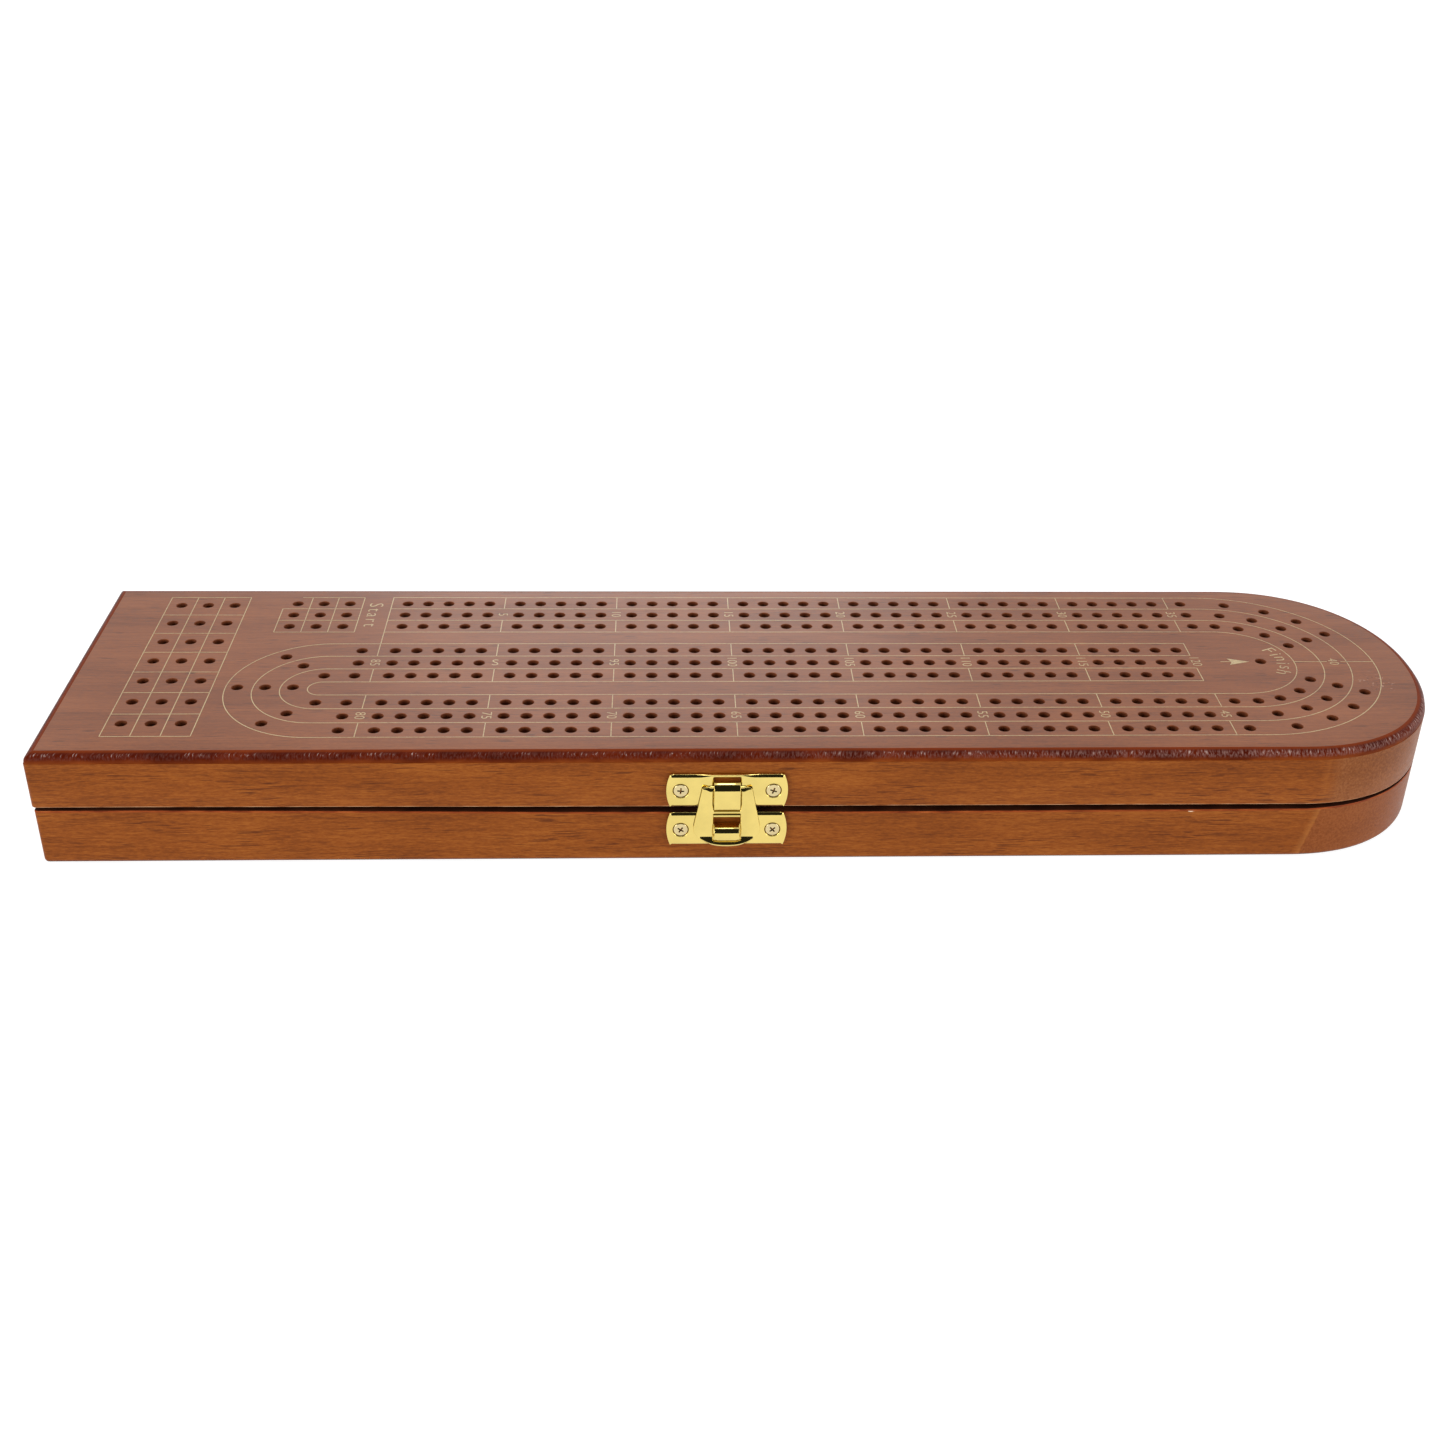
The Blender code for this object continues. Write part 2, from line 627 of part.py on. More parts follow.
def hinges(lid_axis):
    half = LEAF_WIDTH / 2
    middle = KNUCKLE_MIDDLE / 2
    outer = middle + KNUCKLE_GAP
    pin_height = HEIGHT / 2
    profile = screw_profile(LEAF_HEAD_RADIUS, GLUE_GAP, LEAF_THICKNESS)
    for side, centre in zip(("left", "right"), HINGE_CENTRES):
        name = f"hinge_{side}"
        leaves = {
            "base": hinge_leaf(f"{name}_base_leaf", centre, -1, [(-half, -outer), (outer, half)]),
            "lid": hinge_leaf(f"{name}_lid_leaf", centre, 1, [(-middle, middle)], lid_axis),
        }
        axis = (BACK + HINGE_OUT, pin_height)
        ends = [((centre - PIN_LENGTH / 2, *axis), (centre + PIN_LENGTH / 2, *axis))]
        add(f"{name}_pin", rods(f"{name}_pin", ends, PIN_RADIUS, ROD_SIDES), Matrix(), BRASS)
        for part, up, carrier in (("base", -1, None), ("lid", 1, lid_axis)):
            places = [
                (centre + sign * LEAF_SCREW_SPACING / 2, BACK, pin_height + up * LEAF_SCREW_REACH)
                for sign in (-1, 1)
            ]
            for number, place in enumerate(places, 1):
                screw(f"{name}_{part}_screw_{number}", place, (0, 1, 0), profile, carrier)
            heads = (LEAF_HEAD_HOLE, -LEAF_HEAD_START)
            combine(leaves[part], bored(f"{name}_{part}_heads", places, (0, 1, 0), *heads))
            rail = bpy.data.objects[f"{part}_back_rail"]
            combine(rail, bored(f"{name}_{part}_bores", places, (0, 1, 0)))


# --- Pegs ------------------------------------------------------------------------------


def pegs():
    """Three colours of three pegs, lying side by side in the third compartment."""
    cell_start = FIRST_CELL + 2 * (CELL + DIVIDER)
    first = cell_start + (CELL - (len(PEG_TURNS) - 1) * PEG_SPACING) / 2
    length = PEG_PROFILE[-1][0]
    rest = BOTTOM_BOARD + GLUE_GAP + max(radius for _, radius in PEG_PROFILE)
    for number, askew in enumerate(PEG_TURNS):
        finish = PEG_FINISHES[number // 3]
        middle = Matrix.Translation((first + number * PEG_SPACING, 0.0, rest))
        lie = Matrix.Rotation(math.radians(askew), 4, "Z") @ Matrix.Rotation(math.pi / 2, 4, "X")
        place = middle @ lie @ Matrix.Translation((0, 0, -length / 2))
        turned(f"{finish.name}_{number % 3 + 1}", PEG_PROFILE, place, finish, PEG_SIDES)


LID_AXIS = empty("lid_axis", (0.0, BACK + HINGE_OUT, HEIGHT / 2))
LATCH_AXIS = empty("latch_axis", (LATCH_X, FRONT - LATCH_PIVOT_OUT, LATCH_PIVOT_HEIGHT))
LATCH_AXIS.parent = LID_AXIS
LATCH_AXIS.matrix_parent_inverse = LID_AXIS.matrix_world.inverted()
bpy.context.view_layer.update()
case(LID_AXIS)
latch(LID_AXIS, LATCH_AXIS)
hinges(LID_AXIS)
pegs()
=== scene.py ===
"""Looks for the folding cribbage board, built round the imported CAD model."""

import math

import bpy
import numpy as np
from mathutils import Matrix, Vector
from mathutils.geometry import delaunay_2d_cdt


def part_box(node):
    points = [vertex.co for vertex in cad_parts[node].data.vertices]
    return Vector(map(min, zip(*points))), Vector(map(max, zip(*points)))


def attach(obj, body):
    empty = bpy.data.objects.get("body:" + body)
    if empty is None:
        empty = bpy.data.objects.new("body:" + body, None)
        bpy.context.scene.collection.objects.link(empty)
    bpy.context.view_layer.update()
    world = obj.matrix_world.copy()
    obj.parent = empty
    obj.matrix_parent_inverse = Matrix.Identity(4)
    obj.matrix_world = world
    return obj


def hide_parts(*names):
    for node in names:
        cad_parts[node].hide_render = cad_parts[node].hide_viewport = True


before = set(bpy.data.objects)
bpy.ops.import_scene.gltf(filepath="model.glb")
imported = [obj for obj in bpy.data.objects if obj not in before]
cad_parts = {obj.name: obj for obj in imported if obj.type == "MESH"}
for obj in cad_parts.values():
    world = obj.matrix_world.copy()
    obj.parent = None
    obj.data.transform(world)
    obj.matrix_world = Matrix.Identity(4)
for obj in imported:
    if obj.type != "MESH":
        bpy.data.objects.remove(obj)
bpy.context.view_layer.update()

# --- Sizes, in metres, read from the CAD nodes where they have one ---------------------

TRACK_LOW, TRACK_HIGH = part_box("track_board")
LID_RAIL_LOW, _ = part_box("lid_front_rail")
_, BASE_RAIL_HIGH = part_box("base_front_rail")
BOTTOM_LOW, BOTTOM_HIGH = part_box("bottom_board")
HEIGHT = TRACK_HIGH.z
HALF_WIDTH = TRACK_HIGH.y
RIGHT = TRACK_HIGH.x
LEFT = TRACK_LOW.x
BASE_LEFT = BOTTOM_LOW.x
END_CENTRE = 0.1504  # where the straight sides stop and the rounded end begins
END_FULLNESS = 2.17  # exponent of the rounded end: 2 is an ellipse, more is squarer
BOARD_UNDERSIDE = TRACK_LOW.z
LID_UNDERSIDE = LID_RAIL_LOW.z
BASE_TOP = BASE_RAIL_HIGH.z
FLOOR_TOP = BOTTOM_HIGH.z

PRINT_HEIGHT = 0.00003  # printed lines stand this far off the track face
FACE = HEIGHT - PRINT_HEIGHT - 0.00001
ROUND_OVER = 0.00275
ROUND_OVER_STEP = 0.00018  # the cutter leaves a small step above the side veneer
STEP_EASE = (0.00004, 0.00006)  # the step's worn edge: inwards and down
BOTTOM_ROUND_OVER = 0.0015
CORNER_RADIUS = 0.0012
HOLE_RADIUS = 0.00165
HOLE_DEPTH = 0.0065
HOLE_SIDES = 20
HOLE_RIM = 0.00012
DRILL_POINT = 0.35  # depth of a hole's cone, in hole radii
POCKET_RADIUS = 0.0040

HOLE_PITCH = 0.00635
LANE_PITCH = 0.00788
STREET_GAP = 0.0161
STREET_PITCH = 2 * LANE_PITCH + STREET_GAP
GROUP_PITCH = 0.03488
GROUPS = 7
FIRST_X = -0.1063
FIRST_Y = 0.0407
TURN_X = 0.1425
TURN_ENTRY_X = 0.1376
TURN_ANGLES = ((77.0, 59.0, 43.5, 28.0), (80.0, 62.0, 45.0, 27.5), (85.0, 68.0, 48.0, 27.0))
RETURN_X = -0.1245
RETURN_ENTRY_X = -0.1161
RETURN_ANGLES = (123.5, 117.0, 92.0)
RETURN_LIFT = 0.0011
RETURN_SQUASH = 0.97  # the left turn's printed arcs are a little flatter than half circles
FINISH_HOLE = (0.1523, 0.0015)
START_FIRST_X = -0.1403
START_PITCH = 0.00805
GAMES_FIRST = (-0.1758, 0.0395)
GAMES_PITCH = (0.00815, 0.01236)
GAMES_ROWS = 7
GAMES_SHORT = 0.0008  # the counter ends this far behind the track's front line

LINE_WIDTH = 0.00025
LINE_TOP = 0.56  # printed lane edges, in lane pitches from the street's first lane
LINE_STEP = 1.018
LABEL_SIZE = 0.0042
SKUNK_COUNT = 90
SKUNK_SIZE = 0.00525
WORD_SIZE = 0.0062
START_WORD_GAP = 0.0047  # from the start line to the middle of its word
START_SPACING = 1.35
END_LABEL_SHIFT = 0.0008
ARROW_PLACES = (0.0035, 0.0089, 0.0099, 0.0123)  # tip, notch, barbs and shaft, before the last hole
ARROW_HALF = 0.0020
LABEL_THIN = 0.012  # strokes are drawn in by this part of the size, on each side
FINISH_RADIUS = 0.0162
FINISH_ANGLES = (27.0, 16.5, 7.0, -4.0, -13.0, -25.0)
START_LINE_X = -0.1112
TURN_LINE_X = 0.1329
END_LINE_X = 0.1318
TURN_LABEL_ROOM = (0.0020, 0.0022)  # the turn's line stops this far from its number's middle
START_CORNER = 0.6  # the start block's back line begins this far along its first square

SEAM_X = 0.1575  # the side veneer ends here, on both long sides
SEAM_LEAN = 0.27  # the base's seam leans: the lower, the further left
CHIP = (0.1203, -HALF_WIDTH, BASE_TOP - 0.0009)  # a chip in the base's upper edge
CHIP_SIZE = (0.0012, 0.02, 0.0007)
SCUFF = (0.183, -0.012, HEIGHT)  # a rubbed patch on the track face
PARTING_PLACES = (-0.170, -0.100, -0.060, 0.030, 0.150, 0.180, RIGHT)
LID_EDGE_LIFT = (0.0014, 0.0012, 0.0010, 0.0009, 0.0008, 0.0006, 0.0005)  # over the base's nominal top
BASE_EDGE_LIFT = (0.0005, -0.0001, -0.0006, -0.0009, -0.0006, -0.0002, 0.0001)


# --- Mesh building ---------------------------------------------------------------------

SHARP_ANGLE = math.radians(30)
GRAIN_DRIFT = 0.05  # how fast the side grain changes from front to back
CAP_LAYER = 0.3  # flat faces take their grain from this layer


def linked(name, data):
    """A new object in the scene."""
    thing = bpy.data.objects.new(name, data)
    bpy.context.scene.collection.objects.link(thing)
    return thing


def attached(thing, body, slot, *nodes):
    """Moves the piece with a body and lets it stand for CAD nodes, which it hides. Its slot is not
    used.
    """
    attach(thing, body)
    if nodes:
        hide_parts(*nodes)
    return thing


class Solid:
    """Collects vertices and faces, each face with a material number and grain coordinates."""

    def __init__(self):
        self.points = []
        self.faces = []
        self.regions = []
        self.grain = []
        self.smooth = []

    def ring(self, points):
        start = len(self.points)
        self.points.extend(points)
        return list(range(start, len(self.points)))

    def face(self, corners, region, grain, smooth=False):
        self.faces.append(corners)
        self.regions.append(region)
        self.grain.extend(grain)
        self.smooth.append(smooth)

    def band(self, upper, lower, along, region, smooth=True, turn=False):
        """Joins two rings of the same count. `along` is the distance round the ring."""
        count = len(upper)
        for i in range(count):
            j = (i + 1) % count
            corners = (upper[i], upper[j], lower[j], lower[i])
            if turn:
                corners = corners[::-1]
            places = {upper[i]: along[i], lower[i]: along[i]}
            places |= {upper[j]: along[i + 1], lower[j]: along[i + 1]}
            grain = [(places[c], self.points[c][2], self.points[c][1] * GRAIN_DRIFT) for c in corners]
            self.face(corners, region, grain, smooth)

    def cap(self, outer, windows, region, up=True, inside=None):
        """A flat face with windows, filled by triangles. `windows` are rings too."""
        rings = [outer] + windows
        order = [index for ring in rings for index in ring]
        flat = [Vector(self.points[index][:2]) for index in order]
        edges, start = [], 0
        for ring in rings:
            count = len(ring)
            edges += [(start + i, start + (i + 1) % count) for i in range(count)]
            start += count
        result = delaunay_2d_cdt(flat, edges, [], 1, 1e-9)
        places, triangles, sources = result[0], result[2], result[3]
        centres = np.array([[sum(places[i][k] for i in t) / 3 for k in (0, 1)] for t in triangles])
        keep = np.ones(len(triangles), bool) if inside is None else inside(centres)
        for triangle, kept in zip(triangles, keep):
            if not kept:
                continue
            corners = tuple(order[sources[i][0]] for i in triangle)
            if not up:
                corners = corners[::-1]
            grain = [(self.points[c][0], self.points[c][1], CAP_LAYER) for c in corners]
            self.face(corners, region, grain)

    def build(self, name, materials):
        mesh = bpy.data.meshes.new(name)
        mesh.from_pydata(self.points, [], self.faces)
        mesh.polygons.foreach_set("material_index", self.regions)
        mesh.polygons.foreach_set("use_smooth", self.smooth)
        attribute = mesh.attributes.new("grain", "FLOAT_VECTOR", "CORNER")
        attribute.data.foreach_set("vector", np.array(self.grain, np.float32).ravel())
        for material in materials:
            mesh.materials.append(material)
        mesh.validate()
        mesh.set_sharp_from_angle(angle=SHARP_ANGLE)
        return linked(name, mesh)


def polar(centre, radius, degrees):
    turn = math.radians(degrees)
    return centre[0] + radius * math.cos(turn), centre[1] + radius * math.sin(turn)


def arc(centre, radius, start, end, steps):
    return [polar(centre, radius, start + (end - start) * i / steps) for i in range(steps + 1)]


def rounded_end(inset, steps=72):
    """The right end from front to back, moved in square to its edge by `inset`."""
    angle = np.radians(np.linspace(-90, 90, steps + 1))
    along = np.cos(angle).clip(0) ** (2 / END_FULLNESS)
    across = np.sign(angle) * np.abs(np.sin(angle)) ** (2 / END_FULLNESS)
    length, width = RIGHT - END_CENTRE, HALF_WIDTH
    steep = END_FULLNESS - 1
    normal = np.array([along**steep / length, np.sign(across) * np.abs(across) ** steep / width])
    normal /= np.linalg.norm(normal, axis=0)
    ends = np.array([END_CENTRE + length * along, width * across]) - inset * normal
    return [tuple(point) for point in ends.T]


def case_outline(left, inset=0.0):
    """Anticlockwise from the back of the square end: corner, front side, rounded end, back side."""
    reach = HALF_WIDTH - inset
    corner = max(CORNER_RADIUS - inset, 0.00005)
    edge = left + inset
    points = arc((edge + corner, reach - corner), corner, 90, 180, 6)
    points += arc((edge + corner, corner - reach), corner, 180, 270, 6)
    straight = np.linspace(edge + corner, END_CENTRE, 26)[1:-1]
    points += [(x, -reach) for x in straight]
    points += rounded_end(inset)
    points += [(x, reach) for x in straight[::-1]]
    return points


def distances(points):
    """Distance round a closed ring at each point, and once more for its end."""
    ring = np.array([p[:2] for p in points] + [points[0][:2]])
    steps = np.linalg.norm(np.diff(ring, axis=0), axis=1)
    return np.concatenate([[0.0], np.cumsum(steps)])


def circle(centre, radius, sides):
    return arc(centre, radius, 0, 360 - 360 / sides, sides - 1)


def rounded_rectangle(low, high, radius):
    (left, front), (right, back) = low, high
    corners = ((right - radius, back - radius), (left + radius, back - radius))
    corners += ((left + radius, front + radius), (right - radius, front + radius))
    return [p for i, corner in enumerate(corners) for p in arc(corner, radius, 90 * i, 90 * i + 90, 6)]


# --- Peg holes -------------------------------------------------------------------------


def lane_y(street, lane):
    return FIRST_Y - street * STREET_PITCH - lane * LANE_PITCH


def peg_holes():
    holes = [FINISH_HOLE]
    for street in range(3):
        for lane in range(3):
            y = lane_y(street, lane)
            holes += [
                (FIRST_X + group * GROUP_PITCH + hole * HOLE_PITCH, y)
                for group in range(GROUPS)
                for hole in range(5)
            ]
    turn_y = (lane_y(0, 0) + lane_y(2, 2)) / 2
    for lane, angles in enumerate(TURN_ANGLES):
        radius = lane_y(0, lane) - turn_y
        for side in (1, -1):
            holes.append((TURN_ENTRY_X, turn_y + side * radius))
            holes += [polar((TURN_X, turn_y), radius, side * angle) for angle in angles]
    return_y = (lane_y(1, 2) + lane_y(2, 0)) / 2
    for lane, angle in enumerate(RETURN_ANGLES):
        radius = lane_y(1, lane) - return_y
        for side in (1, -1):
            holes.append((RETURN_ENTRY_X, return_y + side * radius))
            holes.append(polar((RETURN_X, return_y), radius, side * angle))
        holes.append((RETURN_X - radius, return_y + RETURN_LIFT))
    for column in range(3):
        holes += [(START_FIRST_X + column * START_PITCH, lane_y(0, lane)) for lane in range(3)]
        holes += [
            (GAMES_FIRST[0] + column * GAMES_PITCH[0], GAMES_FIRST[1] - row * GAMES_PITCH[1])
            for row in range(GAMES_ROWS)
        ]
    return holes


# --- Materials -------------------------------------------------------------------------


class Graph:
    """A material and short ways to add and link its nodes."""

    def __init__(self, name):
        self.material = bpy.data.materials.new(name)
        self.material.use_nodes = True
        self.nodes = self.material.node_tree.nodes
        self.links = self.material.node_tree.links
        self.shader = self.nodes["Principled BSDF"]

    def add(self, kind, settings=None, **inputs):
        node = self.nodes.new(kind)
        for key, value in (settings or {}).items():
            setattr(node, key, value)
        for key, value in inputs.items():
            self.feed(node, key, value)
        return node

    def feed(self, node, key, value):
        socket = node.inputs[int(key[1:])] if key[0] == "_" else node.inputs[key.replace("_", " ")]
        if isinstance(value, bpy.types.NodeSocket):
            self.links.new(value, socket)
        else:
            socket.default_value = value

    def grain(self):
        return self.add("ShaderNodeAttribute", {"attribute_name": "grain"}).outputs["Vector"]

    def place(self):
        return self.add("ShaderNodeTexCoord").outputs["Object"]

    def parts(self, vector):
        return self.add("ShaderNodeSeparateXYZ", _0=vector).outputs

    def set(self, **inputs):
        for key, value in inputs.items():
            self.feed(self.shader, key, value)

    def math(self, operation, a, b):
        return self.add("ShaderNodeMath", {"operation": operation}, _0=a, _1=b).outputs[0]

    def times(self, *factors):
        product = factors[0]
        for factor in factors[1:]:
            product = self.math("MULTIPLY", product, factor)
        return product

    def scaled(self, vector, scale):
        node = self.add("ShaderNodeVectorMath", {"operation": "MULTIPLY"}, _0=vector, _1=scale)
        return node.outputs[0]

    def noise(self, vector, scale=1.0, detail=2.0, roughness=0.5, distortion=0.0):
        node = self.add(
            "ShaderNodeTexNoise",
            Vector=vector,
            Scale=scale,
            Detail=detail,
            Roughness=roughness,
            Distortion=distortion,
        )
        return node.outputs["Fac"]

    def ramp(self, factor, stops):
        node = self.add("ShaderNodeValToRGB", Fac=factor)
        elements = node.color_ramp.elements
        while len(elements) < len(stops):
            elements.new(0.5)
        for element, (place, colour) in zip(elements, stops):
            element.position = place
            element.color = (*colour, 1.0)
        return node.outputs["Color"]

    def span(self, value, low, high, to_low=0.0, to_high=1.0):
        node = self.add("ShaderNodeMapRange", _0=value, _1=low, _2=high, _3=to_low, _4=to_high)
        return node.outputs[0]

    def belt(self, value, low, rise, fall, high):
        """1 between `rise` and `fall`, 0 outside `low` and `high`."""
        return self.times(self.span(value, low, rise), self.span(value, high, fall))

    def mix(self, factor, a, b):
        node = self.add("ShaderNodeMix", {"data_type": "RGBA"})
        self.feed(node, "_0", factor)
        self.feed(node, "_6", a if isinstance(a, bpy.types.NodeSocket) else (*a, 1.0))
        self.feed(node, "_7", b if isinstance(b, bpy.types.NodeSocket) else (*b, 1.0))
        return node.outputs[2]

    def bump(self, height, strength, distance):
        node = self.add("ShaderNodeBump", Height=height, Strength=strength, Distance=distance)
        return node.outputs["Normal"]


def spot(g, place, centre, size):
    """Distance from a point, in units of `size`."""
    shifted = g.add("ShaderNodeVectorMath", {"operation": "SUBTRACT"}, _0=place, _1=centre).outputs[0]
    scaled = g.scaled(shifted, tuple(1 / part for part in size))
    return g.add("ShaderNodeVectorMath", {"operation": "LENGTH"}, _0=scaled).outputs["Value"]


def veneer(name, dark, middle, light, pore, gloss):
    """Stained veneer under lacquer: soft drifts of tone, fine fibres, and thin dark pores."""
    g = Graph(name)
    grain = g.grain()
    drift = g.noise(g.scaled(grain, (11.0, 30.0, 5.0)), detail=2.0)
    lean = g.add("ShaderNodeCombineXYZ", Y=g.times(drift, 0.0045)).outputs[0]
    warped = g.add("ShaderNodeVectorMath", {"operation": "ADD"}, _0=grain, _1=lean).outputs[0]
    cloud = g.noise(g.scaled(grain, (22.0, 90.0, 9.0)), detail=2.0)
    streak = g.noise(g.scaled(warped, (60.0, 1100.0, 26.0)), detail=3.0, roughness=0.6)
    fibre = g.noise(g.scaled(warped, (520.0, 2700.0, 240.0)), detail=2.0, roughness=0.7)
    tone = g.math("ADD", g.times(cloud, 0.30), g.times(streak, 0.28))
    tone = g.math("ADD", tone, g.times(fibre, 0.42))
    colour = g.ramp(tone, [(0.38, dark), (0.50, middle), (0.62, light)])
    dashes = g.noise(g.scaled(warped, (150.0, 2900.0, 130.0)), detail=0.0)
    crowd = g.noise(g.scaled(warped, (34.0, 190.0, 24.0)), detail=1.0)
    pores = g.times(g.span(dashes, 0.65, 0.70), g.span(crowd, 0.42, 0.62))
    colour = g.mix(g.times(pores, 0.72), colour, pore)
    height = g.math("SUBTRACT", g.times(fibre, 0.3), pores)
    g.set(
        Roughness=g.span(fibre, 0.3, 0.7, 0.36, 0.50),
        Normal=g.bump(height, 0.22, 0.0001),
        Specular_IOR_Level=gloss[0],
        Coat_Weight=gloss[1],
        Coat_Roughness=gloss[2],
    )
    return g, colour


def top_veneer():
    """The track face, with a small scuffed patch near the rounded end."""
    tones = (0.190, 0.050, 0.013), (0.262, 0.074, 0.020), (0.335, 0.102, 0.030)
    g, colour = veneer("track_veneer", *tones, (0.085, 0.022, 0.009), (0.32, 0.22, 0.26))
    place = g.place()
    grit = g.noise(g.scaled(place, (900.0, 900.0, 900.0)), detail=1.0)
    patch = g.span(spot(g, place, SCUFF, (0.0060, 0.0075, 0.02)), 1.0, 0.5)
    flecks = g.times(g.span(grit, 0.63, 0.68), patch)
    pits = g.times(g.span(grit, 0.37, 0.32), patch)
    colour = g.mix(g.times(flecks, 0.5), colour, (0.62, 0.40, 0.27))
    g.set(Base_Color=g.mix(g.times(pits, 0.6), colour, (0.10, 0.022, 0.008)))
    return g.material


def ramp_of(g, factor, dark, middle, light, low=0.36, high=0.64):
    """Three evenly spaced tones."""
    return g.ramp(factor, [(low, dark), ((low + high) / 2, middle), (high, light)])


def side_veneer():
    """The rails' veneer. It ends at a seam where the rounded end block begins."""
    tones = (0.180, 0.0425, 0.0045), (0.266, 0.067, 0.0070), (0.352, 0.101, 0.0130)
    g, colour = veneer("side_veneer", *tones, (0.088, 0.018, 0.003), (0.10, 0.02, 0.22))
    place = g.place()
    x, _, z = g.parts(place)
    rough = g.noise(g.scaled(place, (700.0, 700.0, 700.0)), detail=2.0)
    ragged = g.times(g.math("SUBTRACT", rough, 0.5), 0.0008)
    lean = g.times(g.math("MINIMUM", g.math("SUBTRACT", z, BASE_TOP), 0.0), SEAM_LEAN)
    past = g.math("SUBTRACT", g.math("ADD", x, ragged), g.math("ADD", lean, SEAM_X))
    speckle = g.noise(g.scaled(place, (1500.0, 1500.0, 1500.0)), detail=1.0, roughness=0.7)
    slow = g.noise(g.scaled(place, (40.0, 40.0, 90.0)), detail=2.0)
    mottle = g.math("ADD", g.times(speckle, 0.60), g.times(slow, 0.40))
    tones = (0.196, 0.056, 0.012), (0.248, 0.076, 0.018), (0.300, 0.101, 0.028)
    lid_end = ramp_of(g, mottle, *tones)
    tones = (0.200, 0.050, 0.009), (0.245, 0.064, 0.012), (0.290, 0.082, 0.018)
    base_end = ramp_of(g, mottle, *tones)
    on_lid = g.span(z, BASE_TOP, LID_UNDERSIDE)
    end = g.mix(on_lid, base_end, lid_end)
    width = g.span(z, BASE_TOP, LID_UNDERSIDE, 0.0005, 0.0040)
    colour = g.mix(g.add("ShaderNodeMapRange", _0=past, _1=-0.0003, _2=width).outputs[0], colour, end)
    near_seam = g.belt(past, -0.0022, -0.0004, -0.0002, 0.0003)
    near_seam = g.times(near_seam, g.span(z, LID_UNDERSIDE, BASE_TOP, 0.10, 0.35))
    colour = g.mix(near_seam, colour, (0.50, 0.185, 0.042))
    chip = g.math("ADD", spot(g, place, CHIP, CHIP_SIZE), g.times(rough, 1.4))
    colour = g.mix(g.span(chip, 1.85, 1.65), colour, (0.88, 0.72, 0.50))
    # The lowest millimetre, round the bottom board's lower edge, is darkened to grey brown: painted
    # shade where the case stands on the floor.
    g.set(Base_Color=g.mix(g.span(z, 0.0011, 0.0003), colour, (0.055, 0.030, 0.024)))
    return g.material


def cut_edge():
    """The routed round-over: fibreboard soaked dark by the stain, glossy, with rough cutter ticks. A
    pale painted sheen grows towards the right end, and a row of pale ticks is a painted highlight.
    """
    g = Graph("stained_round_over")
    grain = g.grain()
    height = g.parts(grain)[1]
    ticks = g.noise(g.scaled(grain, (2200.0, 900.0, 0.0)), detail=2.0, roughness=0.6, distortion=0.4)
    slow = g.noise(g.scaled(grain, (90.0, 260.0, 0.0)), detail=3.0)
    tones = (0.055, 0.0042, 0.0006), (0.092, 0.0080, 0.0010), (0.145, 0.016, 0.0016)
    soaked = ramp_of(g, slow, *tones, 0.3, 0.7)
    foot = g.span(height, FACE - ROUND_OVER * 0.50, FACE - ROUND_OVER * 1.05)
    tones = (0.130, 0.020, 0.003), (0.200, 0.038, 0.006), (0.270, 0.060, 0.010)
    colour = g.mix(foot, soaked, ramp_of(g, slow, *tones))
    glow = g.span(height, FACE - ROUND_OVER * 0.11, FACE - ROUND_OVER * 0.03)
    colour = g.mix(g.times(glow, 0.45), colour, (0.34, 0.060, 0.010))
    place = g.place()
    # A pale haze over the ticks' belt that grows towards the right end: painted sheen, the lacquer's
    # reflection laid in as colour.
    wear_and_sheen = g.span(g.parts(place)[0], -0.03, 0.14, 0.10, 0.45)
    belt = g.belt(height, FACE - 0.0021, FACE - 0.0011, FACE - 0.0006, FACE - 0.0001)
    painted_sheen = g.times(g.span(ticks, 0.42, 0.62), belt, wear_and_sheen)
    colour = g.mix(painted_sheen, colour, (0.46, 0.27, 0.23))
    # A row of pale ticks where the overhead light's highlight falls: painted glints.
    row = g.belt(height, FACE - 0.0011, FACE - 0.0007, FACE - 0.0005, FACE - 0.0002)
    painted_glints = g.times(g.span(ticks, 0.60, 0.68), row, g.span(slow, 0.42, 0.60))
    g.set(
        Base_Color=g.mix(g.times(painted_glints, 0.65), colour, (0.78, 0.62, 0.55)),
        Roughness=g.span(ticks, 0.3, 0.7, 0.30, 0.48),
        Normal=g.bump(ticks, 0.5, 0.00012),
        Specular_IOR_Level=0.04,
    )
    return g.material


def worn_arris(name, pale, tan, warm):
    """An arris in three tones, rubbed through its stain; on the lid the pale tones are also a painted
    highlight.
    """
    g = Graph(name)
    grain = g.grain()
    rub = g.noise(g.scaled(grain, (160.0, 900.0, 0.0)), detail=3.0)
    colour = ramp_of(g, rub, warm, tan, pale, 0.33, 0.72)
    g.set(
        Base_Color=colour,
        Roughness=g.span(rub, 0.3, 0.7, 0.4, 0.6),
        Normal=g.bump(rub, 0.2, 0.0001),
        Specular_IOR_Level=0.10,
    )
    return g.material


def worn_edge():
    """The lid's lower arris, pale: partly rubbed through its stain, partly a painted highlight where
    the arris catches light.
    """
    return worn_arris("worn_arris", (0.66, 0.38, 0.20), (0.50, 0.24, 0.11), (0.24, 0.075, 0.022))


def worn_base():
    """The base's upper arris, rubbed orange."""
    tones = (0.44, 0.110, 0.024), (0.32, 0.060, 0.011), (0.17, 0.028, 0.006)
    return worn_arris("worn_base_arris", *tones)


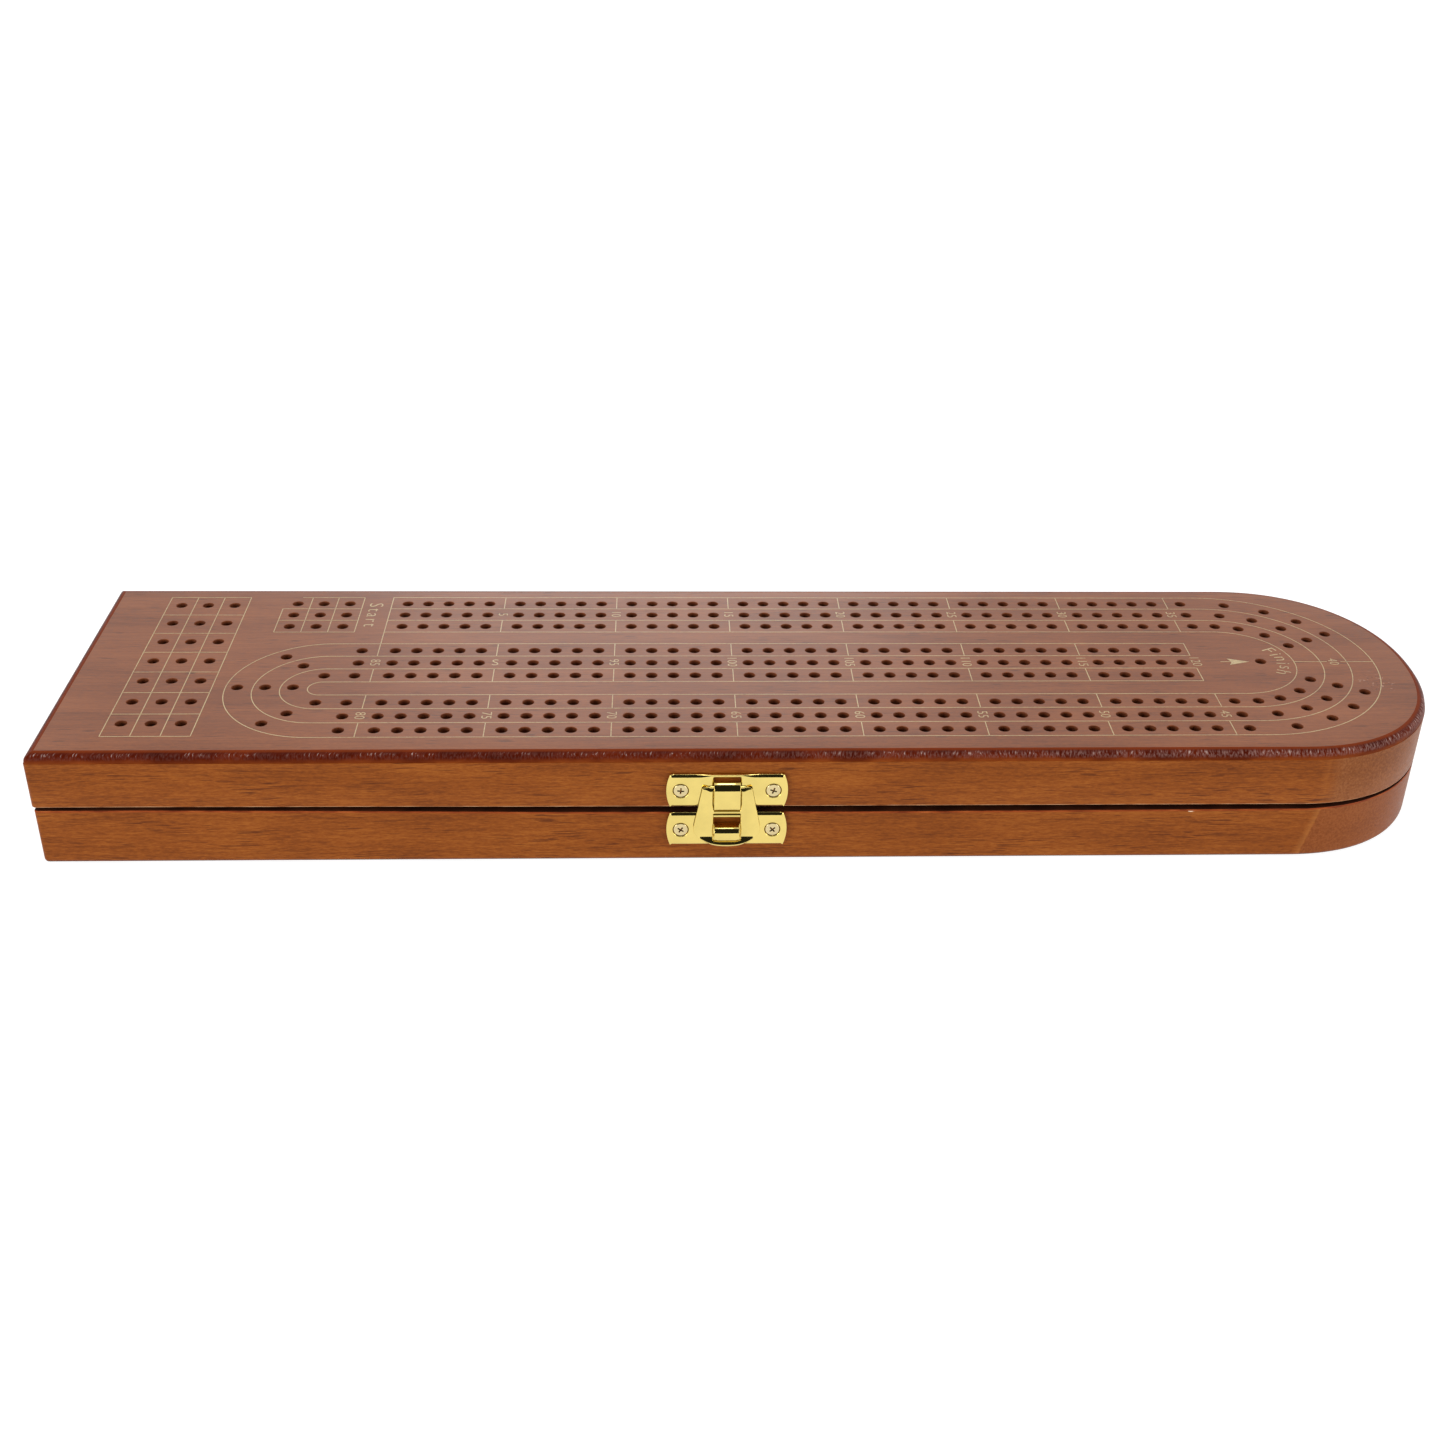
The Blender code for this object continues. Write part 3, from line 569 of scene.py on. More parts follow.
def rim():
    """The base's upper rim, dark brown: painted shade in the gap under the lid."""
    g = Graph("shaded_rim")
    grain = g.grain()
    rim_mottle = g.noise(g.scaled(grain, (120.0, 500.0, 300.0)), detail=3.0)
    tones = (0.020, 0.006, 0.003), (0.045, 0.012, 0.005), (0.080, 0.022, 0.008)
    g.set(
        Base_Color=ramp_of(g, rim_mottle, *tones, 0.3, 0.7),
        Roughness=g.span(rim_mottle, 0.3, 0.7, 0.6, 0.8),
        Normal=g.bump(rim_mottle, 0.2, 0.0001),
        Specular_IOR_Level=0.1,
    )
    return g.material


def bored_wood():
    g = Graph("bored_wood")
    place = g.place()
    rings = g.noise(g.scaled(place, (300.0, 300.0, 4000.0)), detail=2.0)
    # Darker towards the bottom of each hole: painted shade down the bore.
    deep = g.span(g.parts(place)[2], FACE - 0.0030, FACE - 0.0003)
    colour = g.ramp(rings, [(0.3, (0.150, 0.030, 0.006)), (0.7, (0.300, 0.075, 0.014))])
    colour = g.mix(deep, (0.060, 0.013, 0.003), colour)
    g.set(
        Base_Color=colour,
        Roughness=g.span(rings, 0.3, 0.7, 0.5, 0.7),
        Normal=g.bump(rings, 0.3, 0.0001),
    )
    return g.material


def inside_wood():
    """Machined faces inside the halves: the same wood, stained but not lacquered."""
    g = Graph("inside_wood")
    place = g.place()
    fibre = g.noise(g.scaled(place, (120.0, 1500.0, 1500.0)), detail=3.0, roughness=0.65)
    slow = g.noise(g.scaled(place, (14.0, 90.0, 90.0)), detail=3.0)
    pores = g.noise(g.scaled(place, (110.0, 2600.0, 2600.0)), detail=1.0)
    tone = g.math("ADD", g.times(fibre, 0.4), g.times(slow, 0.6))
    colour = g.ramp(tone, [(0.36, (0.130, 0.038, 0.012)), (0.64, (0.250, 0.082, 0.026))])
    mask = g.span(pores, 0.66, 0.74)
    colour = g.mix(g.times(mask, 0.6), colour, (0.060, 0.016, 0.006))
    height = g.math("SUBTRACT", fibre, mask)
    g.set(
        Base_Color=colour,
        Roughness=g.span(fibre, 0.3, 0.7, 0.48, 0.64),
        Normal=g.bump(height, 0.25, 0.0001),
    )
    return g.material


def print_ink():
    """Pale gold ink, thin in places so that the wood shows through."""
    g = Graph("gold_print")
    place = g.place()
    wear_and_sheen = g.noise(g.scaled(place, (1500.0, 1500.0, 10.0)), detail=2.0)
    slow = g.noise(g.scaled(place, (30.0, 30.0, 10.0)), detail=2.0)
    tone = g.math("ADD", g.times(wear_and_sheen, 0.6), g.times(slow, 0.4))
    tones = (0.40, 0.24, 0.12), (0.58, 0.42, 0.20), (0.70, 0.54, 0.28)
    g.set(
        Base_Color=ramp_of(g, tone, *tones, 0.30, 0.70),
        Roughness=g.span(wear_and_sheen, 0.3, 0.7, 0.32, 0.45),
        Coat_Weight=0.3,
        Coat_Roughness=0.2,
    )
    return g.material


def metal(name, colour, roughness=0.12, spread=0.05, scratch=0.02):
    """Polished metal with faint brushing and finger dulling."""
    g = Graph(name)
    place = g.place()
    fine = g.noise(g.scaled(place, (1200.0, 1200.0, 5200.0)), detail=2.0)
    dull = g.noise(g.scaled(place, (160.0, 160.0, 160.0)), detail=3.0)
    low = tuple(c * 0.90 for c in colour)
    g.set(
        Base_Color=g.mix(g.span(dull, 0.35, 0.7), colour, low),
        Metallic=1.0,
        Roughness=g.span(dull, 0.3, 0.75, roughness - spread / 2, roughness + spread),
        Normal=g.bump(fine, scratch, 0.00005),
    )
    return g.material


TOP = top_veneer()
SIDE = side_veneer()
EDGE = cut_edge()
BORED = bored_wood()
INSIDE = inside_wood()
RUBBED_AND_HIGHLIT = worn_edge()
INK = print_ink()
BRASS = metal("polished_brass", (0.78, 0.61, 0.19), 0.08)
SCREW_BRASS = metal("plated_screw", (0.68, 0.56, 0.30), 0.16)
# The cross recesses take a darker brass: painted shade in the recess.
SHADED_RECESS = metal("shaded_screw_recess", (0.24, 0.115, 0.032), 0.35)
PEG_METALS = {
    "peg_brass": metal("turned_brass", (0.83, 0.60, 0.24), 0.16),
    "peg_steel": metal("turned_steel", (0.66, 0.67, 0.69), 0.16),
    "peg_black": metal("black_plate", (0.035, 0.035, 0.04), 0.24),
}
WOODS = [TOP, EDGE, SIDE, BORED, INSIDE, RUBBED_AND_HIGHLIT, rim(), worn_base()]
TOP_FACE, ROUND_EDGE, SIDE_FACE, HOLE_WALL, HIDDEN, RUBBED_AND_LIT, SHADED_RIM, RUBBED_BASE = range(8)

# Worn edges from the top down: inset, height over the edge, and the region above that line. The lid's
# pale arris is partly a painted highlight, and the base's dark rim is painted shade.
LID_ARRIS = ((0.0, 0.00032, SIDE_FACE), (0.00008, 0.00012, RUBBED_AND_LIT), (0.00026, 0.0, RUBBED_AND_LIT))
BASE_ARRIS = (
    (0.0032, 0.0, HIDDEN),
    (0.00040, 0.0, SHADED_RIM),
    (0.00012, -0.00012, SHADED_RIM),
    (0.0, -0.00034, RUBBED_BASE),
    (0.0, -0.00058, RUBBED_BASE),
)


# --- Wooden case -----------------------------------------------------------------------


def lid_edge(x):
    """Height of the lid's lower edge. The open line drops and widens away from the square end."""
    return BASE_TOP + float(np.interp(x, PARTING_PLACES, LID_EDGE_LIFT))


def base_edge(x):
    """Height of the base's upper edge."""
    return BASE_TOP + float(np.interp(x, PARTING_PLACES, BASE_EDGE_LIFT))


def raised(solid, outline, height):
    """A ring over an outline. Its height is a number, or a function of x."""
    return solid.ring([(x, y, height(x) if callable(height) else height) for x, y in outline])


def outline_ring(solid, left, inset, height):
    return raised(solid, case_outline(left, inset), height)


def pockets():
    """The four compartments between the rails and dividers, as corner pairs."""
    walls = [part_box("base_left_rail")] + [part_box(f"base_divider_{n}") for n in (1, 2, 3)]
    ends = [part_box(f"base_divider_{n}")[0].x for n in (1, 2, 3)] + [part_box("base_round_end")[0].x]
    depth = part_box("base_back_rail")[0].y
    return [((wall[1].x, -depth), (end, depth)) for wall, end in zip(walls, ends)]


def track_board():
    solid = Solid()
    holes = peg_holes()
    along = distances(case_outline(LEFT))
    rings = []
    for angle in np.radians(np.linspace(0, 90, 9)):
        inset = ROUND_OVER * (1 - math.sin(angle)) + ROUND_OVER_STEP * math.sin(angle)
        fall = (ROUND_OVER - ROUND_OVER_STEP) * (1 - math.cos(angle))
        rings.append(outline_ring(solid, LEFT, inset, FACE - fall))
    step_edge = outline_ring(solid, LEFT, STEP_EASE[0], FACE - ROUND_OVER)
    side_top = outline_ring(solid, LEFT, 0.0, FACE - ROUND_OVER - STEP_EASE[1])
    bottom = outline_ring(solid, LEFT, 0.0, BOARD_UNDERSIDE)
    for upper, lower in zip(rings, rings[1:] + [step_edge]):
        solid.band(upper, lower, along, ROUND_EDGE, turn=True)
    solid.band(step_edge, side_top, along, SIDE_FACE, turn=True)
    solid.band(side_top, bottom, along, SIDE_FACE, turn=True)
    mouths = []
    for hole in holes:
        levels = ((HOLE_RIM, 0.0), (0.0, HOLE_RIM), (0.0, HOLE_DEPTH))
        circles = [
            raised(solid, circle(hole, HOLE_RADIUS + wider, HOLE_SIDES), FACE - down)
            for wider, down in levels
        ]
        mouths.append(circles[0])
        round_hole = distances(circle(hole, HOLE_RADIUS, HOLE_SIDES))
        solid.band(circles[0], circles[1], round_hole, HOLE_WALL)
        solid.band(circles[1], circles[2], round_hole, HOLE_WALL)
        tip = raised(solid, [hole], FACE - HOLE_DEPTH - HOLE_RADIUS * DRILL_POINT)[0]
        for i in range(HOLE_SIDES):
            corners = (circles[2][i], circles[2][(i + 1) % HOLE_SIDES], tip)
            solid.face(corners, HOLE_WALL, [solid.points[c] for c in corners], True)

    def on_face(places):
        nearest = np.min([np.hypot(*(places - centre).T) for centre in holes], axis=0)
        return nearest > (HOLE_RADIUS + HOLE_RIM) * math.cos(math.pi / HOLE_SIDES) * 0.999

    solid.cap(rings[0], mouths, TOP_FACE, inside=on_face)
    solid.cap(bottom, [], HIDDEN, up=False)
    attached(solid.build("track_board_fine", WOODS), "lid", "track_wood", "track_board")


def inside_outline_only(windows):
    def keep(places):
        kept = np.ones(len(places), bool)
        for low, high in windows:
            inner = (places > np.array(low)).all(axis=1) & (places < np.array(high)).all(axis=1)
            corner = np.minimum(places - np.array(low), np.array(high) - places)
            short = np.clip(POCKET_RADIUS - corner, 0, None)
            kept &= ~(inner & (np.hypot(*short.T) < POCKET_RADIUS))
        return kept

    return keep


def case_frame(name, left, profile, body, nodes):
    """A half's frame. `profile` gives its outer wall from the top down: inset, height, region."""
    solid = Solid()
    along = distances(case_outline(left))
    rings = [outline_ring(solid, left, inset, height) for inset, height, _ in profile]
    for upper, lower, (_, _, region) in zip(rings, rings[1:], profile[1:]):
        solid.band(upper, lower, along, region, turn=True)
    cells = pockets()
    loops = [rounded_rectangle(low, high, POCKET_RADIUS) for low, high in cells]
    top, bottom = profile[0][1], profile[-1][1]
    openings = []
    for level in (top, bottom):
        openings.append([raised(solid, loop, level) for loop in loops])
    for upper, lower, loop in zip(*openings, loops):
        solid.band(upper, lower, distances(loop), HIDDEN, smooth=False)
    keep = inside_outline_only(cells)
    solid.cap(rings[0], openings[0], HIDDEN, inside=keep)
    solid.cap(rings[-1], openings[1], HIDDEN, up=False, inside=keep)
    attached(solid.build(name, WOODS), body, "case_wood", *nodes)


def rail_nodes(half):
    rails = ("front_rail", "back_rail", "left_rail", "divider_1", "divider_2", "divider_3", "round_end")
    return [f"{half}_{rail}" for rail in rails]


def bottom_board():
    solid = Solid()
    along = distances(case_outline(BASE_LEFT))
    top = outline_ring(solid, BASE_LEFT, 0.0, FLOOR_TOP)
    rings = [top]
    for angle in np.radians(np.linspace(0, 90, 7)):
        inset = BOTTOM_ROUND_OVER * (1 - math.cos(angle))
        height = BOTTOM_ROUND_OVER * (1 - math.sin(angle))
        rings.append(outline_ring(solid, BASE_LEFT, inset, height))
    for upper, lower in zip(rings, rings[1:]):
        solid.band(upper, lower, along, SIDE_FACE, turn=True)
    solid.cap(top, [], HIDDEN)
    solid.cap(rings[-1], [], SIDE_FACE, up=False)
    attached(solid.build("bottom_board_fine", WOODS), "base", "case_wood", "bottom_board")


def along_edge(edge, profile):
    """A profile's heights made to follow an edge along the case."""
    return [(inset, lambda x, lift=lift: edge(x) + lift, region) for inset, lift, region in profile]


def case():
    track_board()
    lid_profile = [(0.0, BOARD_UNDERSIDE, SIDE_FACE)] + along_edge(lid_edge, LID_ARRIS)
    case_frame("lid_frame", LEFT, lid_profile, "lid", rail_nodes("lid"))
    base_profile = along_edge(base_edge, BASE_ARRIS) + [(0.0, FLOOR_TOP, SIDE_FACE)]
    case_frame("base_frame", BASE_LEFT, base_profile, "base", rail_nodes("base"))
    bottom_board()


# --- Printed track ---------------------------------------------------------------------


def line(solid, start, end, width=LINE_WIDTH):
    start, end = np.array(start, float), np.array(end, float)
    along = (end - start) / np.linalg.norm(end - start)
    side = np.array([-along[1], along[0]]) * width / 2
    ribbon(solid, [start + side, end + side], [start - side, end - side])


def ribbon(solid, upper, lower):
    """A raised printed stroke between two edges of the same count."""
    edges = [list(upper), list(lower)]
    rings = []
    for height in (FACE + PRINT_HEIGHT, FACE - PRINT_HEIGHT):
        rings.append([solid.ring([(p[0], p[1], height) for p in edge]) for edge in edges])
    (top_a, top_b), (low_a, low_b) = rings
    count = len(top_a)
    quads = []
    for i in range(count - 1):
        j = i + 1
        quads += [
            (top_a[i], top_b[i], top_b[j], top_a[j]),
            (low_a[j], low_b[j], low_b[i], low_a[i]),
            (low_a[i], top_a[i], top_a[j], low_a[j]),
            (top_b[i], low_b[i], low_b[j], top_b[j]),
        ]
    quads += [(low_a[0], low_b[0], top_b[0], top_a[0]), (low_b[-1], low_a[-1], top_a[-1], top_b[-1])]
    for quad in quads:
        solid.face(quad, 0, [solid.points[c] for c in quad])


def arc_line(solid, centre, radius, start, end, squash=1.0, steps=48):
    edges = [arc(centre, radius + side * LINE_WIDTH / 2, start, end, steps) for side in (-1, 1)]
    ribbon(solid, *[[(centre[0] + (x - centre[0]) * squash, y) for x, y in edge] for edge in edges])


def lane_edge(street, number):
    return lane_y(street, 0) + (LINE_TOP - number * LINE_STEP) * LANE_PITCH


def cross_line(solid, x, street):
    """A count line: drawn across the outer lanes, with the number in the middle lane."""
    line(solid, (x, lane_edge(street, 0)), (x, lane_edge(street, 1)))
    line(solid, (x, lane_edge(street, 2)), (x, lane_edge(street, 3)))


def count_line_x(group):
    """Half way between the last hole of a group and the first of the next."""
    return FIRST_X + group * GROUP_PITCH + (GROUP_PITCH + 4 * HOLE_PITCH) / 2


def printed_lines():
    solid = Solid()
    turn_y = (lane_edge(0, 0) + lane_edge(2, 3)) / 2
    return_y = (lane_edge(1, 0) + lane_edge(2, 3)) / 2
    for number in range(4):
        back, middle, front = (lane_edge(street, number) for street in range(3))
        line(solid, (START_LINE_X, back), (TURN_X, back))
        line(solid, (RETURN_X, middle), (END_LINE_X, middle))
        line(solid, (RETURN_X, front), (TURN_X, front))
        arc_line(solid, (TURN_X, turn_y), back - turn_y, 90, -90)
        arc_line(solid, (RETURN_X, return_y), middle - return_y, 90, 270, RETURN_SQUASH)
    for street in range(3):
        for group in range(GROUPS - 1):
            cross_line(solid, count_line_x(group), street)
    line(solid, (START_LINE_X, lane_edge(0, 0)), (START_LINE_X, lane_edge(1, 1)))
    line(solid, (START_LINE_X, lane_edge(1, 2)), (START_LINE_X, lane_edge(1, 3)))
    cross_line(solid, START_LINE_X, 2)
    cross_line(solid, TURN_LINE_X, 0)
    cross_line(solid, TURN_LINE_X, 2)
    cross_line(solid, END_LINE_X, 1)
    inner = TURN_X + lane_edge(0, 3) - turn_y
    outer = TURN_X + lane_edge(0, 0) - turn_y
    label = TURN_X + (lane_edge(0, 1) + lane_edge(0, 2)) / 2 - turn_y
    line(solid, (inner, turn_y), (label - TURN_LABEL_ROOM[0], turn_y))
    line(solid, (label + TURN_LABEL_ROOM[1], turn_y), (outer, turn_y))
    start = START_FIRST_X - START_PITCH / 2
    for column in range(4):
        x = start + column * START_PITCH
        line(solid, (x, lane_edge(0, 0 if column else 1)), (x, lane_edge(0, 3)))
    for number in range(4):
        y = lane_edge(0, number)
        first = 0 if number else START_CORNER
        line(solid, (start + first * START_PITCH, y), (start + 3 * START_PITCH, y))
    left = GAMES_FIRST[0] - GAMES_PITCH[0] / 2
    top = lane_edge(0, 0)
    step = (top - lane_edge(2, 3) - GAMES_SHORT) / GAMES_ROWS
    for column in range(4):
        x = left + column * GAMES_PITCH[0]
        line(solid, (x, top), (x, top - GAMES_ROWS * step))
    for row in range(GAMES_ROWS + 1):
        y = top - row * step
        line(solid, (left, y), (left + 3 * GAMES_PITCH[0], y))
    attached(solid.build("printed_lines", [INK]), "lid", "track_wood")


def label(name, text, position, size, angle=-90.0, spacing=1.0):
    """Flat printed characters, centred on a point, read along `angle`."""
    curve = bpy.data.curves.new(name, "FONT")
    curve.body = text
    curve.size = size
    curve.offset = -LABEL_THIN * size
    curve.space_character = spacing
    curve.extrude = PRINT_HEIGHT
    curve.resolution_u = 3
    holder = linked(name, curve)
    bpy.context.view_layer.update()
    graph = bpy.context.evaluated_depsgraph_get()
    mesh = bpy.data.meshes.new_from_object(holder.evaluated_get(graph))
    bpy.data.objects.remove(holder)
    corners = [vertex.co for vertex in mesh.vertices]
    middle = [(min(c[k] for c in corners) + max(c[k] for c in corners)) / 2 for k in (0, 1)]
    turn = Matrix.Translation((*position, FACE)) @ Matrix.Rotation(math.radians(angle), 4, "Z")
    mesh.transform(turn @ Matrix.Translation((-middle[0], -middle[1], 0)))
    mesh.materials.clear()
    mesh.materials.append(INK)
    return linked(name, mesh)


def count_at(street, stop):
    """The number printed at a count line."""
    return (5 * stop, 85 + 5 * stop, 80 - 5 * stop)[street]


def arrow(turn_y):
    """Points from the end of the last street to the finishing hole."""
    solid = Solid()
    x, y = FINISH_HOLE[0], turn_y
    tip, notch, tail, shaft = (x - before for before in ARROW_PLACES)
    line(solid, (shaft, y), (notch, y))
    ribbon(solid, [(tip, y), (tail, y + ARROW_HALF)], [(tip, y), (notch, y)])
    ribbon(solid, [(tip, y), (notch, y)], [(tip, y), (tail, y - ARROW_HALF)])
    return solid.build("arrow", [INK])


def printed_labels():
    made = []
    for street in range(3):
        y = (lane_edge(street, 1) + lane_edge(street, 2)) / 2
        for stop in range(GROUPS + 1):
            count = count_at(street, stop)
            x = count_line_x(stop - 1)
            if stop == 0:
                x = START_LINE_X
            elif stop == GROUPS:
                x = END_LINE_X + END_LABEL_SHIFT if street == 1 else TURN_LINE_X
            if count == SKUNK_COUNT:
                made.append(label("skunk_line", "S", (x, y), SKUNK_SIZE, 0.0))
            elif count:
                made.append(label(f"count_{count}", str(count), (x, y), LABEL_SIZE))
    turn_y = (lane_edge(0, 0) + lane_edge(2, 3)) / 2
    mid_lane = TURN_X + (lane_edge(0, 1) + lane_edge(0, 2)) / 2 - turn_y
    made.append(label("count_40", "40", (mid_lane, turn_y), LABEL_SIZE))
    start = (START_LINE_X - START_WORD_GAP, lane_y(0, 1))
    made.append(label("word_start", "Start", start, WORD_SIZE, spacing=START_SPACING))
    for number, (letter, angle) in enumerate(zip("Finish", FINISH_ANGLES)):
        place = polar((TURN_X, turn_y), FINISH_RADIUS, angle)
        made.append(label(f"finish_letter_{number}", letter, place, WORD_SIZE, angle - 90))
    made.append(arrow(turn_y))
    for piece in made:
        attached(piece, "lid", "track_wood")


# --- Metal: sheet, strip and turned pieces ---------------------------------------------


SHARPEST_CORNER = 0.35  # limits how far a mitred corner can move
RIM_CLEARANCE = 0.6  # inner points keep this far from a rim, in grid steps


def finished(name, points, faces, material, body, nodes, slot, crease=35.0):
    """A metal piece: smooth, but sharp where its faces meet at more than `crease` degrees."""
    mesh = bpy.data.meshes.new(name)
    mesh.from_pydata([tuple(map(float, p)) for p in points], [], faces)
    mesh.validate()
    mesh.shade_smooth()
    mesh.set_sharp_from_angle(angle=math.radians(crease))
    mesh.materials.append(material)
    attached(linked(name, mesh), body, slot, *nodes)


def within(places, loops):
    """Whether each place is inside an odd number of the loops."""
    odd = np.zeros(len(places), bool)
    x, y = places[:, 0][:, None], places[:, 1][:, None]
    for loop in loops:
        start = np.array(loop)
        end = np.roll(start, -1, axis=0)
        rise = np.where(end[:, 1] == start[:, 1], 1e-12, end[:, 1] - start[:, 1])
        crosses = (start[:, 1] > y) != (end[:, 1] > y)
        left = x < (end[:, 0] - start[:, 0]) * (y - start[:, 1]) / rise + start[:, 0]
        odd ^= (crosses & left).sum(axis=1) % 2 == 1
    return odd


def divided(loop, step):
    """A closed loop with points no further than `step` apart."""
    points = []
    for start, end in zip(loop, list(loop[1:]) + [loop[0]]):
        start, end = np.array(start), np.array(end)
        count = max(1, math.ceil(np.linalg.norm(end - start) / step))
        points += [tuple(start + (end - start) * i / count) for i in range(count)]
    return points


def shrunk(loop, inset):
    """A closed anticlockwise loop moved inwards: `inset` is one distance, or one for each point."""
    points = np.array(loop)
    before = points - np.roll(points, 1, axis=0)
    after = np.roll(points, -1, axis=0) - points
    sides = []
    for step in (before, after):
        sides.append(np.stack([-step[:, 1], step[:, 0]], 1) / np.linalg.norm(step, axis=1)[:, None])
    middle = sides[0] + sides[1]
    middle /= np.maximum((middle * sides[0]).sum(axis=1), SHARPEST_CORNER)[:, None]
    return points + middle * np.broadcast_to(inset, len(points))[:, None]


def quarter(radius, steps=4):
    """A rounded rim, from the face down: how far in and how far down at each step."""
    turns = [math.pi / 2 * k / steps for k in range(steps + 1)]
    return [(radius * (1 - math.sin(a)), radius * (1 - math.cos(a))) for a in turns]


def sheet_metal(loops, rims, thickness, shape, step=0.0005):
    """Points and faces of a flat sheet with windows, bent by `shape(x, s, height)`.

    The first loop is the outline. Each loop has its own rim: pairs of inset and drop, which
    may be one number or one for each point.
    """
    points, faces, fronts, backs = [], [], [], []
    for number, (loop, rim) in enumerate(zip(loops, rims)):
        sign = 1.0 if number == 0 else -1.0
        rings = []
        for inset, drop in rim:
            flat = shrunk(loop, np.multiply(inset, sign))
            level = thickness - np.broadcast_to(drop, len(loop))
            rings.append([(x, s, h) for (x, s), h in zip(flat, level)])
        rings.append([(x, s, 0.0) for x, s in loop])
        indices = []
        for ring in rings:
            indices.append(list(range(len(points), len(points) + len(ring))))
            points += ring
        for upper, lower in zip(indices, indices[1:]):
            for i in range(len(upper)):
                j = (i + 1) % len(upper)
                quad = (upper[i], lower[i], lower[j], upper[j])
                faces.append(quad if number == 0 else quad[::-1])
        fronts.append(indices[0])
        backs.append(indices[-1])
    for level, rings, up in ((thickness, fronts, True), (0.0, backs, False)):
        outlines = [[points[i][:2] for i in ring] for ring in rings]
        low, high = np.min(outlines[0], axis=0), np.max(outlines[0], axis=0)
        ticks = [np.arange(a + step, b, step) for a, b in zip(low, high)]
        grid = np.stack(np.meshgrid(*ticks), -1).reshape(-1, 2)
        rim_points = np.array([p for outline in outlines for p in outline])
        clear = np.array([np.hypot(*(rim_points - p).T).min() > step * RIM_CLEARANCE for p in grid])
        grid = grid[clear & within(grid, outlines)]
        start = len(points)
        points += [(x, s, level) for x, s in grid]
        order = [i for ring in rings for i in ring] + list(range(start, len(points)))
        edges, first = [], 0
        for ring in rings:
            edges += [(first + i, first + (i + 1) % len(ring)) for i in range(len(ring))]
            first += len(ring)
        result = delaunay_2d_cdt([Vector(points[i][:2]) for i in order], edges, [], 1, 1e-9)
        places = np.array(result[0])
        centres = places[np.array(result[2])].mean(axis=1)
        for triangle, inside in zip(result[2], within(centres, outlines)):
            if inside:
                corners = tuple(order[result[3][i][0]] for i in triangle)
                faces.append(corners if up else corners[::-1])
    return [shape(*point) for point in points], faces


def strip_metal(path, widths, thickness, rim=0.00012):
    """Points and faces of a narrow strip that follows a side view, as distance out and height."""
    path = np.array(path)
    along = np.gradient(path, axis=0)
    along /= np.linalg.norm(along, axis=1)[:, None]
    out = np.stack([along[:, 1], -along[:, 0]], 1)
    points, faces = [], []
    for centre, normal, width in zip(path, out, widths):
        for sx, sy, start in ((1, 1, 0), (-1, 1, 90), (-1, -1, 180), (1, -1, 270)):
            corner = (sx * (width / 2 - rim), sy * (thickness / 2 - rim))
            for x, y in arc(corner, rim, start, start + 90, 3):
                place = centre + normal * y
                points.append((LATCH_X + x, FRONT - place[0], place[1]))
    count = 16
    for k in range(len(path) - 1):
        for i in range(count):
            j = (i + 1) % count
            faces.append((k * count + i, k * count + j, (k + 1) * count + j, (k + 1) * count + i))
    last = (len(path) - 1) * count
    faces += [tuple(range(count))[::-1], tuple(range(last, last + count))]
    return points, faces


def lathe(profile, place, sides=32):
    """Points and faces of a turned shape: height and radius from one end to the other."""
    points, faces = [], []
    for height, radius in profile:
        for i in range(sides):
            turn = 2 * math.pi * i / sides
            points.append(place @ Vector((radius * math.cos(turn), radius * math.sin(turn), height)))
    for k in range(len(profile) - 1):
        for i in range(sides):
            j = (i + 1) % sides
            faces.append((k * sides + i, k * sides + j, (k + 1) * sides + j, (k + 1) * sides + i))
    last = (len(profile) - 1) * sides
    faces += [tuple(range(sides))[::-1], tuple(range(last, last + sides))]
    return points, faces


def joined(*shapes):
    """Several closed shapes as one list of points and faces."""
    points, faces = [], []
    for some_points, some_faces in shapes:
        start = len(points)
        points += list(some_points)
        faces += [tuple(start + i for i in face) for face in some_faces]
    return points, faces


def facing(point, direction):
    turn = Vector(direction).to_track_quat("Z", "Y").to_matrix().to_4x4()
    return Matrix.Translation(point) @ turn


def bow(values, centre, radius, start, end, steps):
    """Adds a bend to a side view."""
    return values + arc(centre, radius, start, end, steps)


# --- Latch -----------------------------------------------------------------------------

LID_PLATE_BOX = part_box("latch_lid_plate")
FRONT = -HALF_WIDTH
LATCH_X = (LID_PLATE_BOX[0].x + LID_PLATE_BOX[1].x) / 2
PLATE_REACH = (LID_PLATE_BOX[1].x - LID_PLATE_BOX[0].x) / 2
PLATE_BACK = 0.0003
PLATE_THICKNESS = 0.0009
PLATE_BULGE = 0.0010
PLATE_ROLL = 0.00130  # the long edges roll back towards the wood at this radius
PLATE_ROLL_TURN = 56.0  # through this many degrees
PLATE_EASE = 0.00022  # and the ends at this one
FLAT_MIDDLE = (0.0034, 0.0085)  # the lid plate's upper edge is flat inside, rolled outside
LID_PLATE = (0.0183, LID_PLATE_BOX[1].z - 0.0004)
BASE_PLATE = (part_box("latch_base_plate")[0].z, 0.01615)
WINDOW_HALF = 0.00370
LID_WINDOW = (0.0247, 0.0276)
BASE_WINDOW = (0.0125, 0.0147)
LATCH_SCREW_REACH = 0.0127
LATCH_SCREW_HEIGHTS = (0.0234, 0.0108)
DIMPLE_RADIUS = 0.00215
DIMPLE_RIM = ((0.00022, 0.0), (0.00014, 0.00003), (0.00006, 0.00012), (0.0, 0.00045))
PLATE_WINDOW_RIM = 0.00030
PIVOT_OUT = 0.0019
PIVOT_HEIGHT = 0.0246
ROD_RADIUS = 0.00030
ROD_OUT = 0.0015
